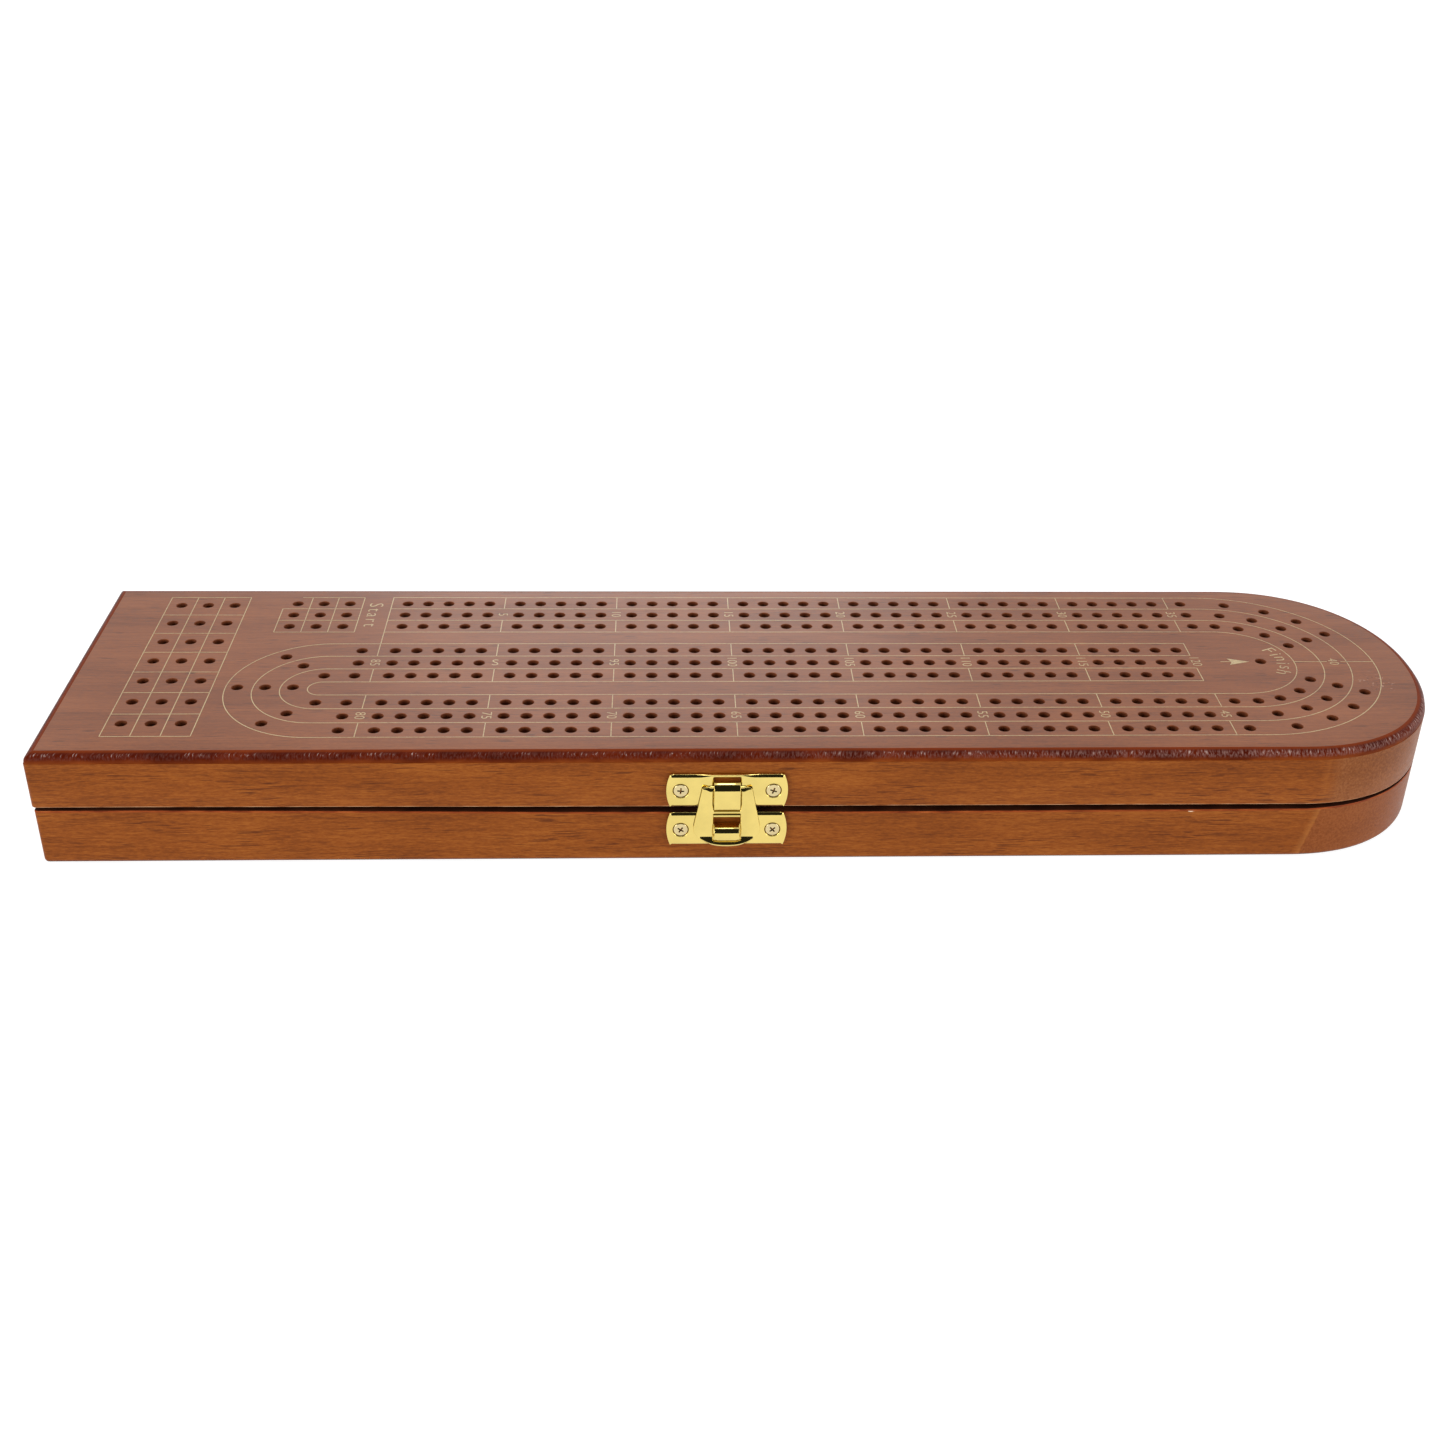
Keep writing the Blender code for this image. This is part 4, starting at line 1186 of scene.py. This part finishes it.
ROD_SHORT = 0.0009  # the rod ends this far inside the flap's ears
ROD_EASE = 0.0002
TONGUE_WIDTH = 0.0072
TONGUE_OUT = 0.0034
TONGUE_CURL = 0.0026  # the curl's slow part, and the height where it starts
TONGUE_CURL_HEIGHT = 0.02386
TONGUE_TIP = 0.0005  # and its tight end
TONGUE_TURNS = (60, 150)  # degrees over the rod where each part ends, from straight out
STRIP_THICKNESS = 0.0006
STRIP_BEND = 0.0007
STRIP_ROOT = 0.0010  # a strip starts this far inside its plate
HOOK_WIDTH = 0.0069
HOOK_OUT = 0.00363
HOOK_HIGH = 0.01227
HOOK_CURL = 0.0018  # the slow part of its bend, below the tight part
HOOK_SHOULDER = 0.0003
HOOK_TURN = 62  # degrees from straight out where the two parts meet
HOOK_LOW = 0.00905
HOOK_CORNER = 0.0009
FLAP_BACK = 0.0017
FLAP_THICKNESS = 0.00065
FLAP_WIDTH = 0.0185
FLAP_WIDEST = 0.0117
FLAP_CORNER = 0.0033
FLAP_TOP = 0.0133
FLAP_HEAD = 0.0263
FLAP_HEAD_CORNER = 0.0006
FLAP_BELLY = 2.6  # how flat the lower edge's middle is
FLAP_EDGE = 0.00018
EAR_HEIGHT = 0.0250
EAR_BENDS = (0.0007, 0.0022)  # the ears roll back: radius at their ends, and beside the tongue
EAR_TURN = math.radians(60)
EAR_THINNING = 0.5  # and the sheet thins as it turns
LIP_START = 0.0104  # below this the flap flares outwards
LIP_RADIUS = 0.0036
LIP_LOW = 0.0069
FLAP_WINDOWS = ((0.0084, 0.0166), (0.0176, 0.0242))
FLAP_RIM = 0.00042  # the windows' edges are rounded at this radius


def eased(value, low, high):
    """0 below `low`, 1 above `high`, and smooth between."""
    part = np.clip((value - low) / (high - low), 0.0, 1.0)
    return part * part * (3 - 2 * part)


def plate_outline(low, high):
    half, middle = (high - low) / 2, (low + high) / 2
    radius = (half**2 + PLATE_BULGE**2) / (2 * PLATE_BULGE)
    spread = math.degrees(math.asin(half / radius))
    right = arc((PLATE_REACH - radius, middle), radius, -spread, spread, 20)
    left = arc((radius - PLATE_REACH, middle), radius, 180 - spread, 180 + spread, 20)
    return divided(right + left, 0.0006)


def window(half, low, high, radius=0.0003):
    return divided(rounded_rectangle((-half, low), (half, high), radius), 0.0006)


def edge_roll(outline, height, flat_middle):
    """How far each point of a plate's outline rolls back to the wood: 1 on the long edges."""
    rolled = []
    for x, s in outline:
        near_edge = min(s - height[0], height[1] - s) < PLATE_EASE
        long_edge = near_edge and abs(x) < PLATE_REACH - PLATE_BULGE
        full = 1.0 if long_edge else 0.0
        if flat_middle and s > sum(height) / 2:
            full *= eased(abs(x), *FLAT_MIDDLE)
        rolled.append(full)
    return np.array(rolled)


def latch_plate(half, height, opening, screw_height, strip, body):
    """A pressed plate: long edges rolled back to the wood, and dimples for its screws."""
    outline = plate_outline(*height)
    rolled = edge_roll(outline, height, half == "lid")
    loops = [outline, window(WINDOW_HALF, *opening)]
    radius = PLATE_EASE + (PLATE_ROLL - PLATE_EASE) * rolled
    end = np.radians(90.0 + (PLATE_ROLL_TURN - 90.0) * rolled)
    turns = [end * part for part in np.linspace(0, 1, 11)]
    rims = [[(radius * (np.sin(end) - np.sin(turn)), radius * (1 - np.cos(turn))) for turn in turns]]
    rims.append(quarter(PLATE_WINDOW_RIM, 3))
    for sign in (-1, 1):
        loops.append(circle((sign * LATCH_SCREW_REACH, screw_height), DIMPLE_RADIUS, 40))
        rims.append(DIMPLE_RIM)

    def place(x, s, h):
        return LATCH_X + x, FRONT - PLATE_BACK - h, s

    sheet = sheet_metal(loops, rims, PLATE_THICKNESS, place, 0.0010)
    nodes = [f"latch_{half}_plate"]
    finished(f"latch_{half}_plate_fine", *joined(sheet, strip), BRASS, body, nodes, "polished_brass")


def tongue():
    """Leaves the lid plate's lower edge, runs up in front of the flap and curls over its rod."""
    root = PLATE_BACK + PLATE_THICKNESS / 2
    foot = LID_PLATE[0] + STRIP_THICKNESS / 2 + STRIP_BEND
    path = [(root, foot + STRIP_ROOT)]
    path = bow(path, (root + STRIP_BEND, foot), STRIP_BEND, 180, 270, 6)
    path = bow(path, (TONGUE_OUT - STRIP_BEND, foot), STRIP_BEND, -90, 0, 6)
    path += [(TONGUE_OUT, s) for s in np.linspace(foot, TONGUE_CURL_HEIGHT, 14)[1:-1]]
    middle = (TONGUE_OUT - TONGUE_CURL, TONGUE_CURL_HEIGHT)
    path = bow(path, middle, TONGUE_CURL, 0, TONGUE_TURNS[0], 18)
    tip = arc(middle, TONGUE_CURL - TONGUE_TIP, TONGUE_TURNS[0], TONGUE_TURNS[0], 1)[0]
    path = bow(path, tip, TONGUE_TIP, *TONGUE_TURNS, 14)
    return strip_metal(path, [TONGUE_WIDTH] * len(path), STRIP_THICKNESS)


def hook():
    """Stands out from the foot of the base plate's window through the flap's, and turns down."""
    root = PLATE_BACK + PLATE_THICKNESS / 2
    path = [(root, HOOK_HIGH - STRIP_BEND - STRIP_ROOT)]
    path = bow(path, (root + STRIP_BEND, HOOK_HIGH - STRIP_BEND), STRIP_BEND, 180, 90, 6)
    turn = math.radians(HOOK_TURN)
    shoulder = HOOK_OUT - HOOK_CURL + (HOOK_CURL - HOOK_SHOULDER) * math.cos(turn)
    path = bow(path, (shoulder, HOOK_HIGH - HOOK_SHOULDER), HOOK_SHOULDER, 90, HOOK_TURN, 4)
    bend_low = HOOK_HIGH - HOOK_SHOULDER - (HOOK_CURL - HOOK_SHOULDER) * math.sin(turn)
    path = bow(path, (HOOK_OUT - HOOK_CURL, bend_low), HOOK_CURL, HOOK_TURN, 0, 16)
    path += [(HOOK_OUT, s) for s in np.linspace(bend_low, HOOK_LOW, 16)[1:]]
    widths = []
    for out, s in path:
        short = max(0.0, HOOK_CORNER - (s - HOOK_LOW)) if out == HOOK_OUT else 0.0
        cut = HOOK_CORNER - math.sqrt(HOOK_CORNER**2 - short**2)
        widths.append(HOOK_WIDTH - 2 * cut)
    return strip_metal(path, widths, STRIP_THICKNESS)


def flap_outline():
    """Narrow at the rod, widest near the bottom, with round shoulders and a curved lower edge."""
    wide, top = FLAP_WIDTH / 2, FLAP_TOP / 2
    right = arc((wide - FLAP_CORNER, FLAP_WIDEST), FLAP_CORNER, -60, 9, 14)
    reach, rise = right[0][0], right[0][1] - LIP_LOW
    lower = [(reach * part, LIP_LOW + rise * part**FLAP_BELLY) for part in np.linspace(0, 1, 12)[:-1]]
    corner = (top - FLAP_HEAD_CORNER - 0.0001, FLAP_HEAD - FLAP_HEAD_CORNER)
    half = lower + right + [(top, corner[1] - 0.0001)] + arc(corner, FLAP_HEAD_CORNER, 20, 90, 4)
    return divided(half + [(-x, s) for x, s in reversed(half[1:])], 0.0005)


def flap_shape(x, s, h):
    """Bends the flap: its lower lip flares out, and its ears roll back to the rod."""
    near = eased(-abs(x), -FLAP_TOP / 2, -WINDOW_HALF - 0.0007)
    bend = EAR_BENDS[0] + (EAR_BENDS[1] - EAR_BENDS[0]) * near
    start = EAR_HEIGHT - bend * math.sin(EAR_TURN)
    if s < LIP_START:
        turn = (LIP_START - s) / LIP_RADIUS
        middle = FLAP_BACK + FLAP_THICKNESS + LIP_RADIUS
        reach = LIP_RADIUS + FLAP_THICKNESS - h
        return LATCH_X + x, reach * math.cos(turn) + FRONT - middle, LIP_START - reach * math.sin(turn)
    if s < start:
        return LATCH_X + x, FRONT - FLAP_BACK - h, s
    turn = EAR_TURN * (s - start) / (FLAP_HEAD - start)
    depth = (FLAP_THICKNESS - h) * (1 - EAR_THINNING * turn)
    centre = (FLAP_BACK + FLAP_THICKNESS - bend, start)
    out, height = polar(centre, bend - depth, math.degrees(turn))
    return LATCH_X + x, FRONT - out, height


def flap():
    loops = [flap_outline()] + [window(WINDOW_HALF, *heights) for heights in FLAP_WINDOWS]
    rims = [quarter(FLAP_EDGE, 3)] + [quarter(FLAP_RIM, 5)] * 2
    sheet = sheet_metal(loops, rims, FLAP_THICKNESS, flap_shape, 0.0005)
    reach = FLAP_TOP / 2 - ROD_SHORT
    ends = [(-reach, ROD_RADIUS - ROD_EASE), (ROD_EASE - reach, ROD_RADIUS)]
    profile = ends + [(-along, radius) for along, radius in reversed(ends)]
    rod = lathe(profile, facing((LATCH_X, FRONT - ROD_OUT, PIVOT_HEIGHT), (1, 0, 0)))
    finished("latch_flap_fine", *joined(sheet, rod), BRASS, "flap", ["latch_flap"], "polished_brass")


SHANK = [(-0.0050, 0.0003), (-0.0038, 0.0008)]  # a screw's point and shank: height and radius
HEAD_NECK = [(0.00035, 0.0008), (0.00080, 0.00195)]
HEAD_SHAPE = (0.00088, 0.00172, 0.00030, 0.00026, 0.00014)  # height, flat radius, edge, its rise, dome
LATCH_RECESS = (0.00132, 0.00029, 0.00050)  # the cross: half length, half width and depth
LATCH_RECESS_HEIGHT = 0.00122
CROSS_TAPER = 0.45
SCREW_TWIST = 40.0  # radians per metre of height, so that no two crosses stand alike


def cross_cutter(reach, half, depth):
    """Two crossed wedges, for a cross recess: their tops are at 0 and stand a little proud."""
    shapes = []
    for long_x, long_y in ((reach, half), (half, reach)):
        top = [(sx * long_x, sy * long_y, depth) for sx, sy in ((1, 1), (-1, 1), (-1, -1), (1, -1))]
        foot = [(x * CROSS_TAPER, y * CROSS_TAPER, -depth) for x, y, _ in top]
        sides = [(i, (i + 1) % 4, (i + 1) % 4 + 4, i + 4)[::-1] for i in range(4)]
        shapes.append((top + foot, sides + [(0, 1, 2, 3), (7, 6, 5, 4)]))
    return shapes


def screw_mesh(name, profile, recess, recess_height):
    """A turned screw with a cross recess in its head."""
    def plain(points, faces, label, number):
        mesh = bpy.data.meshes.new(label)
        mesh.from_pydata([tuple(p) for p in points], [], faces)
        mesh.materials.append(SCREW_BRASS)
        mesh.materials.append(SHADED_RECESS)
        mesh.polygons.foreach_set("material_index", [number] * len(mesh.polygons))
        return linked(label, mesh)

    body = plain(*lathe(profile, Matrix(), 40), name, 0)
    # The recess's faces take the darker recess brass: painted shade.
    cutters = [plain(*shape, f"{name}_cut", 1) for shape in cross_cutter(*recess)]
    for cutter in cutters:
        cutter.location.z = recess_height
        cut = body.modifiers.new("recess", "BOOLEAN")
        cut.object = cutter
    bpy.context.view_layer.update()
    graph = bpy.context.evaluated_depsgraph_get()
    mesh = bpy.data.meshes.new_from_object(body.evaluated_get(graph))
    for thing in [body] + cutters:
        bpy.data.objects.remove(thing)
    mesh.shade_smooth()
    mesh.set_sharp_from_angle(angle=math.radians(32))
    return mesh


def place_screw(node, mesh, place, body):
    thing = linked(f"{node}_fine", mesh)
    thing.matrix_world = place
    attached(thing, body, "screw_brass", node)


def latch_head():
    """The profile of a pan head: countersink, rounded edge and low dome."""
    low, flat, edge, rise, dome = HEAD_SHAPE
    turns = np.radians(range(0, 91, 15))
    rounded = [(low + rise * math.sin(a), flat + edge * math.cos(a)) for a in turns]
    top = [(low + rise + dome * (1 - part**2), flat * part) for part in (0.85, 0.65, 0.45, 0.25, 0.1)]
    return HEAD_NECK + rounded + top


def latch():
    latch_plate("lid", LID_PLATE, LID_WINDOW, LATCH_SCREW_HEIGHTS[0], tongue(), "lid")
    latch_plate("base", BASE_PLATE, BASE_WINDOW, LATCH_SCREW_HEIGHTS[1], hook(), "base")
    flap()
    mesh = screw_mesh("latch_screw", SHANK + latch_head(), LATCH_RECESS, LATCH_RECESS_HEIGHT)
    for half, height in zip(("lid", "base"), LATCH_SCREW_HEIGHTS):
        for side, sign, turn in (("left", -1, 0.55), ("right", 1, 0.30)):
            place = facing((LATCH_X + sign * LATCH_SCREW_REACH, FRONT, height), (0, -1, 0))
            twist = Matrix.Rotation(turn + height * SCREW_TWIST, 4, "Z")
            place_screw(f"latch_{half}_screw_{side}", mesh, place @ twist, half)


# --- Hinges ----------------------------------------------------------------------------

PIN_BOXES = [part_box(f"hinge_{side}_pin") for side in ("left", "right")]
HINGE_CENTRES = [(low.x + high.x) / 2 for low, high in PIN_BOXES]
BACK = HALF_WIDTH
LEAF_HALF = 0.0125
LEAF_BACK = 0.0003
LEAF_THICKNESS = 0.0009
LEAF_NEAR = 0.0021
LEAF_FAR = 0.0118
PIN_OUT = 0.0021
PIN_HEIGHT = HEIGHT / 2
KNUCKLE_RADIUS = 0.0017
KNUCKLE_BORE = 0.00085
KNUCKLE_MIDDLE = 0.0050
KNUCKLE_OUTER = 0.0056
LEAF_SCREW_SPACING = 0.0080
LEAF_SCREW_REACH = 0.0072
LEAF_CORNER = 0.0016
LEAF_RIM = 0.00022
LEAF_TAB = 0.0002  # a tab reaches this close to the pin's middle
LEAF_HOLE = 0.00165
COUNTERSINK = ((0.00042, 0.0), (0.00034, 0.00003), (0.0, 0.00038), (0.0, 0.0005))
KNUCKLE_EASE = 0.00015
KNUCKLE_PROUD = 0.0001
HINGE_HEAD = [
    (0.0004, 0.0008), (0.00085, 0.00155), (0.00098, 0.00150), (0.00112, 0.0011), (0.00116, 0.0004)
]
HINGE_RECESS = (0.00095, 0.00022, 0.00035)
HINGE_RECESS_HEIGHT = 0.00110
PIN_END = [(-0.0128, 0.0003), (-0.0126, 0.0006), (-0.0123, 0.0007)]  # a rounded end: place and radius


def knuckle(centre, start, end):
    """A rolled barrel: a tube with eased ends."""
    outer, inner, ease = KNUCKLE_RADIUS, KNUCKLE_BORE, KNUCKLE_EASE
    profile = [
        (start, inner + ease), (start, outer - ease), (start + ease, outer),
        (end - ease, outer), (end, outer - ease), (end, inner + ease),
        (end - ease, inner), (start + ease, inner),
    ]
    sides, points, faces = 36, [], []
    for along, radius in profile:
        for i in range(sides):
            turn = 2 * math.pi * i / sides
            across = (BACK + PIN_OUT + radius * math.cos(turn), PIN_HEIGHT + radius * math.sin(turn))
            points.append((centre + along, *across))
    count = len(profile)
    for k in range(count):
        for i in range(sides):
            j = (i + 1) % sides
            n = (k + 1) % count
            faces.append((k * sides + i, k * sides + j, n * sides + j, n * sides + i)[::-1])
    return points, faces


def hinge_leaf(name, centre, up, spans, body):
    """A leaf with two countersunk holes and tabs that roll into its knuckles."""
    half, corner = LEAF_HALF, LEAF_CORNER
    outline = arc((half - corner, LEAF_FAR - corner), corner, 0, 90, 8)
    outline += arc((corner - half, LEAF_FAR - corner), corner, 90, 180, 8)
    tabs = []
    for start, end in spans:
        start, end = max(start, -half), min(end, half)
        tabs += [(start, LEAF_NEAR), (start, LEAF_TAB), (end, LEAF_TAB), (end, LEAF_NEAR)]
    lower = [(-half, LEAF_NEAR)] + tabs + [(half, LEAF_NEAR)]
    lower = [p for i, p in enumerate(lower) if i == 0 or p != lower[i - 1]]
    outline = divided(outline + lower, 0.0010)
    loops = [outline]
    rims = [quarter(LEAF_RIM, 3)]
    for sign in (-1, 1):
        loops.append(circle((sign * LEAF_SCREW_SPACING, LEAF_SCREW_REACH), LEAF_HOLE, 36))
        rims.append(COUNTERSINK)

    def place(x, s, h):
        return centre - up * x, BACK + LEAF_BACK + h, PIN_HEIGHT + up * s

    sheet = sheet_metal(loops, rims, LEAF_THICKNESS, place, 0.0012)
    barrels = [knuckle(centre, start, end) for start, end in spans]
    finished(f"{name}_fine", *joined(sheet, *barrels), BRASS, body, [name], "polished_brass")


def hinges():
    mesh = screw_mesh("hinge_screw", SHANK + HINGE_HEAD, HINGE_RECESS, HINGE_RECESS_HEIGHT)
    pin = PIN_END + [(-along, radius) for along, radius in reversed(PIN_END)]
    end = LEAF_HALF + KNUCKLE_PROUD
    for side, centre in zip(("left", "right"), HINGE_CENTRES):
        name = f"hinge_{side}"
        outer = [(-end, -KNUCKLE_OUTER), (KNUCKLE_OUTER, end)]
        hinge_leaf(f"{name}_base_leaf", centre, -1, outer, "base")
        hinge_leaf(f"{name}_lid_leaf", centre, 1, [(-KNUCKLE_MIDDLE, KNUCKLE_MIDDLE)], "lid")
        axis = lathe(pin, facing((centre, BACK + PIN_OUT, PIN_HEIGHT), (1, 0, 0)), 24)
        finished(f"{name}_pin_fine", *axis, SCREW_BRASS, "base", [f"{name}_pin"], "polished_brass")
        for part, up in (("base", -1), ("lid", 1)):
            for number, sign in ((1, -1), (2, 1)):
                height = PIN_HEIGHT + up * LEAF_SCREW_REACH
                place = facing((centre + sign * LEAF_SCREW_SPACING, BACK, height), (0, 1, 0))
                twist = Matrix.Rotation(0.4 * number + 0.9 * up + centre * 5, 4, "Z")
                place_screw(f"{name}_{part}_screw_{number}", mesh, place @ twist, part)


# --- Pegs ------------------------------------------------------------------------------

PEG_TURNS = (3.0, -2.0, 1.5, -3.0, 2.0, 0.5, -1.5, 2.5, -2.5)  # degrees each peg lies askew
PEG_LENGTH = 0.0290
PEG_COLLAR = [
    (0.0120, 0.00147), (0.0122, 0.00195), (0.0124, 0.0021), (0.0134, 0.0021), (0.0136, 0.00195)
]
PEG_WAIST = [
    (0.0138, 0.00150), (0.0152, 0.00128), (0.0185, 0.00132), (0.0215, 0.00142), (0.0232, 0.00160)
]
PEG_GRIP = 0.0266  # the grip's widest place, and its length to each side
PEG_GRIP_LONG = 0.00264
PEG_GRIP_SHORT = 0.0024


def peg_profile():
    """Tapered shank, collar, waist and a rounded grip, from the tip."""
    turns = np.radians(range(0, 91, 15))
    tip = [(0.0008 - 0.0008 * math.cos(a), 0.0004 + 0.0009 * math.sin(a)) for a in turns]
    grip = []
    for a in np.radians(range(30, 181, 10)):
        reach = PEG_GRIP_LONG if a < math.pi / 2 else PEG_GRIP_SHORT
        grip.append((PEG_GRIP - reach * math.cos(a), 0.0011 + 0.0014 * math.sin(a)))
    return tip + PEG_COLLAR + PEG_WAIST + grip


def pegs():
    nodes = [f"{kind}_{number}" for kind in PEG_METALS for number in (1, 2, 3)]
    for node, askew in zip(nodes, PEG_TURNS):
        low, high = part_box(node)
        centre = (low + high) / 2
        lie = Matrix.Rotation(math.radians(askew), 4, "Z") @ Matrix.Rotation(math.pi / 2, 4, "X")
        place = Matrix.Translation(centre) @ lie @ Matrix.Translation((0, 0, -PEG_LENGTH / 2))
        kind = node.rsplit("_", 1)[0]
        shape = lathe(peg_profile(), place, 36)
        finished(f"{node}_fine", *shape, PEG_METALS[kind], "base", [node], kind)


# --- Setting ---------------------------------------------------------------------------

DIM_ELEVATION = math.radians(36)
DIM_INNER = math.radians(35.5)
DIM_OUTER = math.radians(37.5)
DIM_STRETCH = (0.7, 1.0, 1.0)  # the dim patch is wider than it is high
SKY_BRIGHT = 0.85
SKY_DIM = 0.02
FLOOR_GLOW = 0.90
LIGHTS = {  # position, aim, size and power
    "behind": ((-0.04, 1.36, 0.60), (0.0, 0.03, HEIGHT), (0.60, 0.34), 1.5),
    "overhead": ((0.0, -0.15, 0.90), (0.0, -0.05, HEIGHT), (0.30, 0.25), 1.05),
    "left_front": ((-1.1, -0.9, 0.40), (0.0, 0.0, 0.0), (0.7, 0.6), 7.0),
    "right_front": ((1.2, -0.8, 0.40), (0.0, 0.0, 0.0), (0.7, 0.6), 5.0),
}
FLOOR_REACH = 6.0
CAMERA_PLACE = Vector((-0.02738, -0.47246, HEIGHT + 0.24789))
CAMERA_AIM = Vector((-0.00585, -0.06024, HEIGHT))
CAMERA_ROLL = math.radians(1.335)


def camera():
    data = bpy.data.cameras.new("camera")
    data.lens = 44.95
    data.sensor_width = 36.0
    data.shift_x = -0.0138
    data.shift_y = 0.0322
    data.clip_start = 0.01
    thing = linked("camera", data)
    look = (CAMERA_AIM - CAMERA_PLACE).to_track_quat("-Z", "Y").to_matrix().to_4x4()
    roll = Matrix.Rotation(CAMERA_ROLL, 4, "Z")
    thing.matrix_world = Matrix.Translation(CAMERA_PLACE) @ look @ roll
    bpy.context.scene.camera = thing


def area_light(name, position, aim, size, power):
    data = bpy.data.lights.new(name, "AREA")
    data.shape = "RECTANGLE"
    data.size, data.size_y = size
    data.energy = power
    thing = linked(name, data)
    thing.location = position
    thing.rotation_euler = (Vector(aim) - Vector(position)).to_track_quat("-Z", "Y").to_euler()
    thing.visible_camera = False


def sky():
    """A white surround with a dim patch above and behind the camera, as in a dark studio."""
    world = bpy.data.worlds.new("studio")
    bpy.context.scene.world = world
    world.use_nodes = True
    nodes, links = world.node_tree.nodes, world.node_tree.links
    stretched = nodes.new("ShaderNodeVectorMath")
    stretched.operation = "MULTIPLY"
    links.new(nodes.new("ShaderNodeTexCoord").outputs["Generated"], stretched.inputs[0])
    stretched.inputs[1].default_value = DIM_STRETCH
    direction = nodes.new("ShaderNodeVectorMath")
    direction.operation = "NORMALIZE"
    links.new(stretched.outputs[0], direction.inputs[0])
    towards = nodes.new("ShaderNodeVectorMath")
    towards.operation = "DOT_PRODUCT"
    links.new(direction.outputs[0], towards.inputs[0])
    towards.inputs[1].default_value = (0.0, -math.cos(DIM_ELEVATION), math.sin(DIM_ELEVATION))
    fade = nodes.new("ShaderNodeMapRange")
    fade.interpolation_type = "SMOOTHSTEP"
    values = (math.cos(DIM_OUTER), math.cos(DIM_INNER), SKY_BRIGHT, SKY_DIM)
    for socket, value in zip(fade.inputs[1:5], values):
        socket.default_value = value
    links.new(towards.outputs["Value"], fade.inputs[0])
    links.new(fade.outputs[0], nodes["Background"].inputs["Strength"])
    nodes["Background"].inputs["Color"].default_value = (1.0, 1.0, 1.0, 1.0)


def setting():
    mesh = bpy.data.meshes.new("floor")
    corners = [(x * FLOOR_REACH, y * FLOOR_REACH, 0) for x, y in ((-1, -1), (1, -1), (1, 1), (-1, 1))]
    mesh.from_pydata(corners, [], [(0, 1, 2, 3)])
    floor = linked("floor", mesh)
    g = Graph("pale_floor")
    place = g.place()
    soft = g.noise(g.scaled(place, (2.0, 2.0, 2.0)), detail=2.0)
    g.set(
        Base_Color=g.ramp(soft, [(0.3, (0.295, 0.295, 0.295)), (0.7, (0.305, 0.305, 0.305))]),
        Roughness=0.8,
        Specular_IOR_Level=0.2,
        Emission_Color=(1.0, 1.0, 1.0, 1.0),
        Emission_Strength=FLOOR_GLOW,
    )
    mesh.materials.append(g.material)
    sky()
    for name, settings in LIGHTS.items():
        area_light(name, *settings)
    bpy.context.scene.view_settings.view_transform = "Standard"


camera()
case()
printed_lines()
printed_labels()
latch()
hinges()
pegs()
setting()
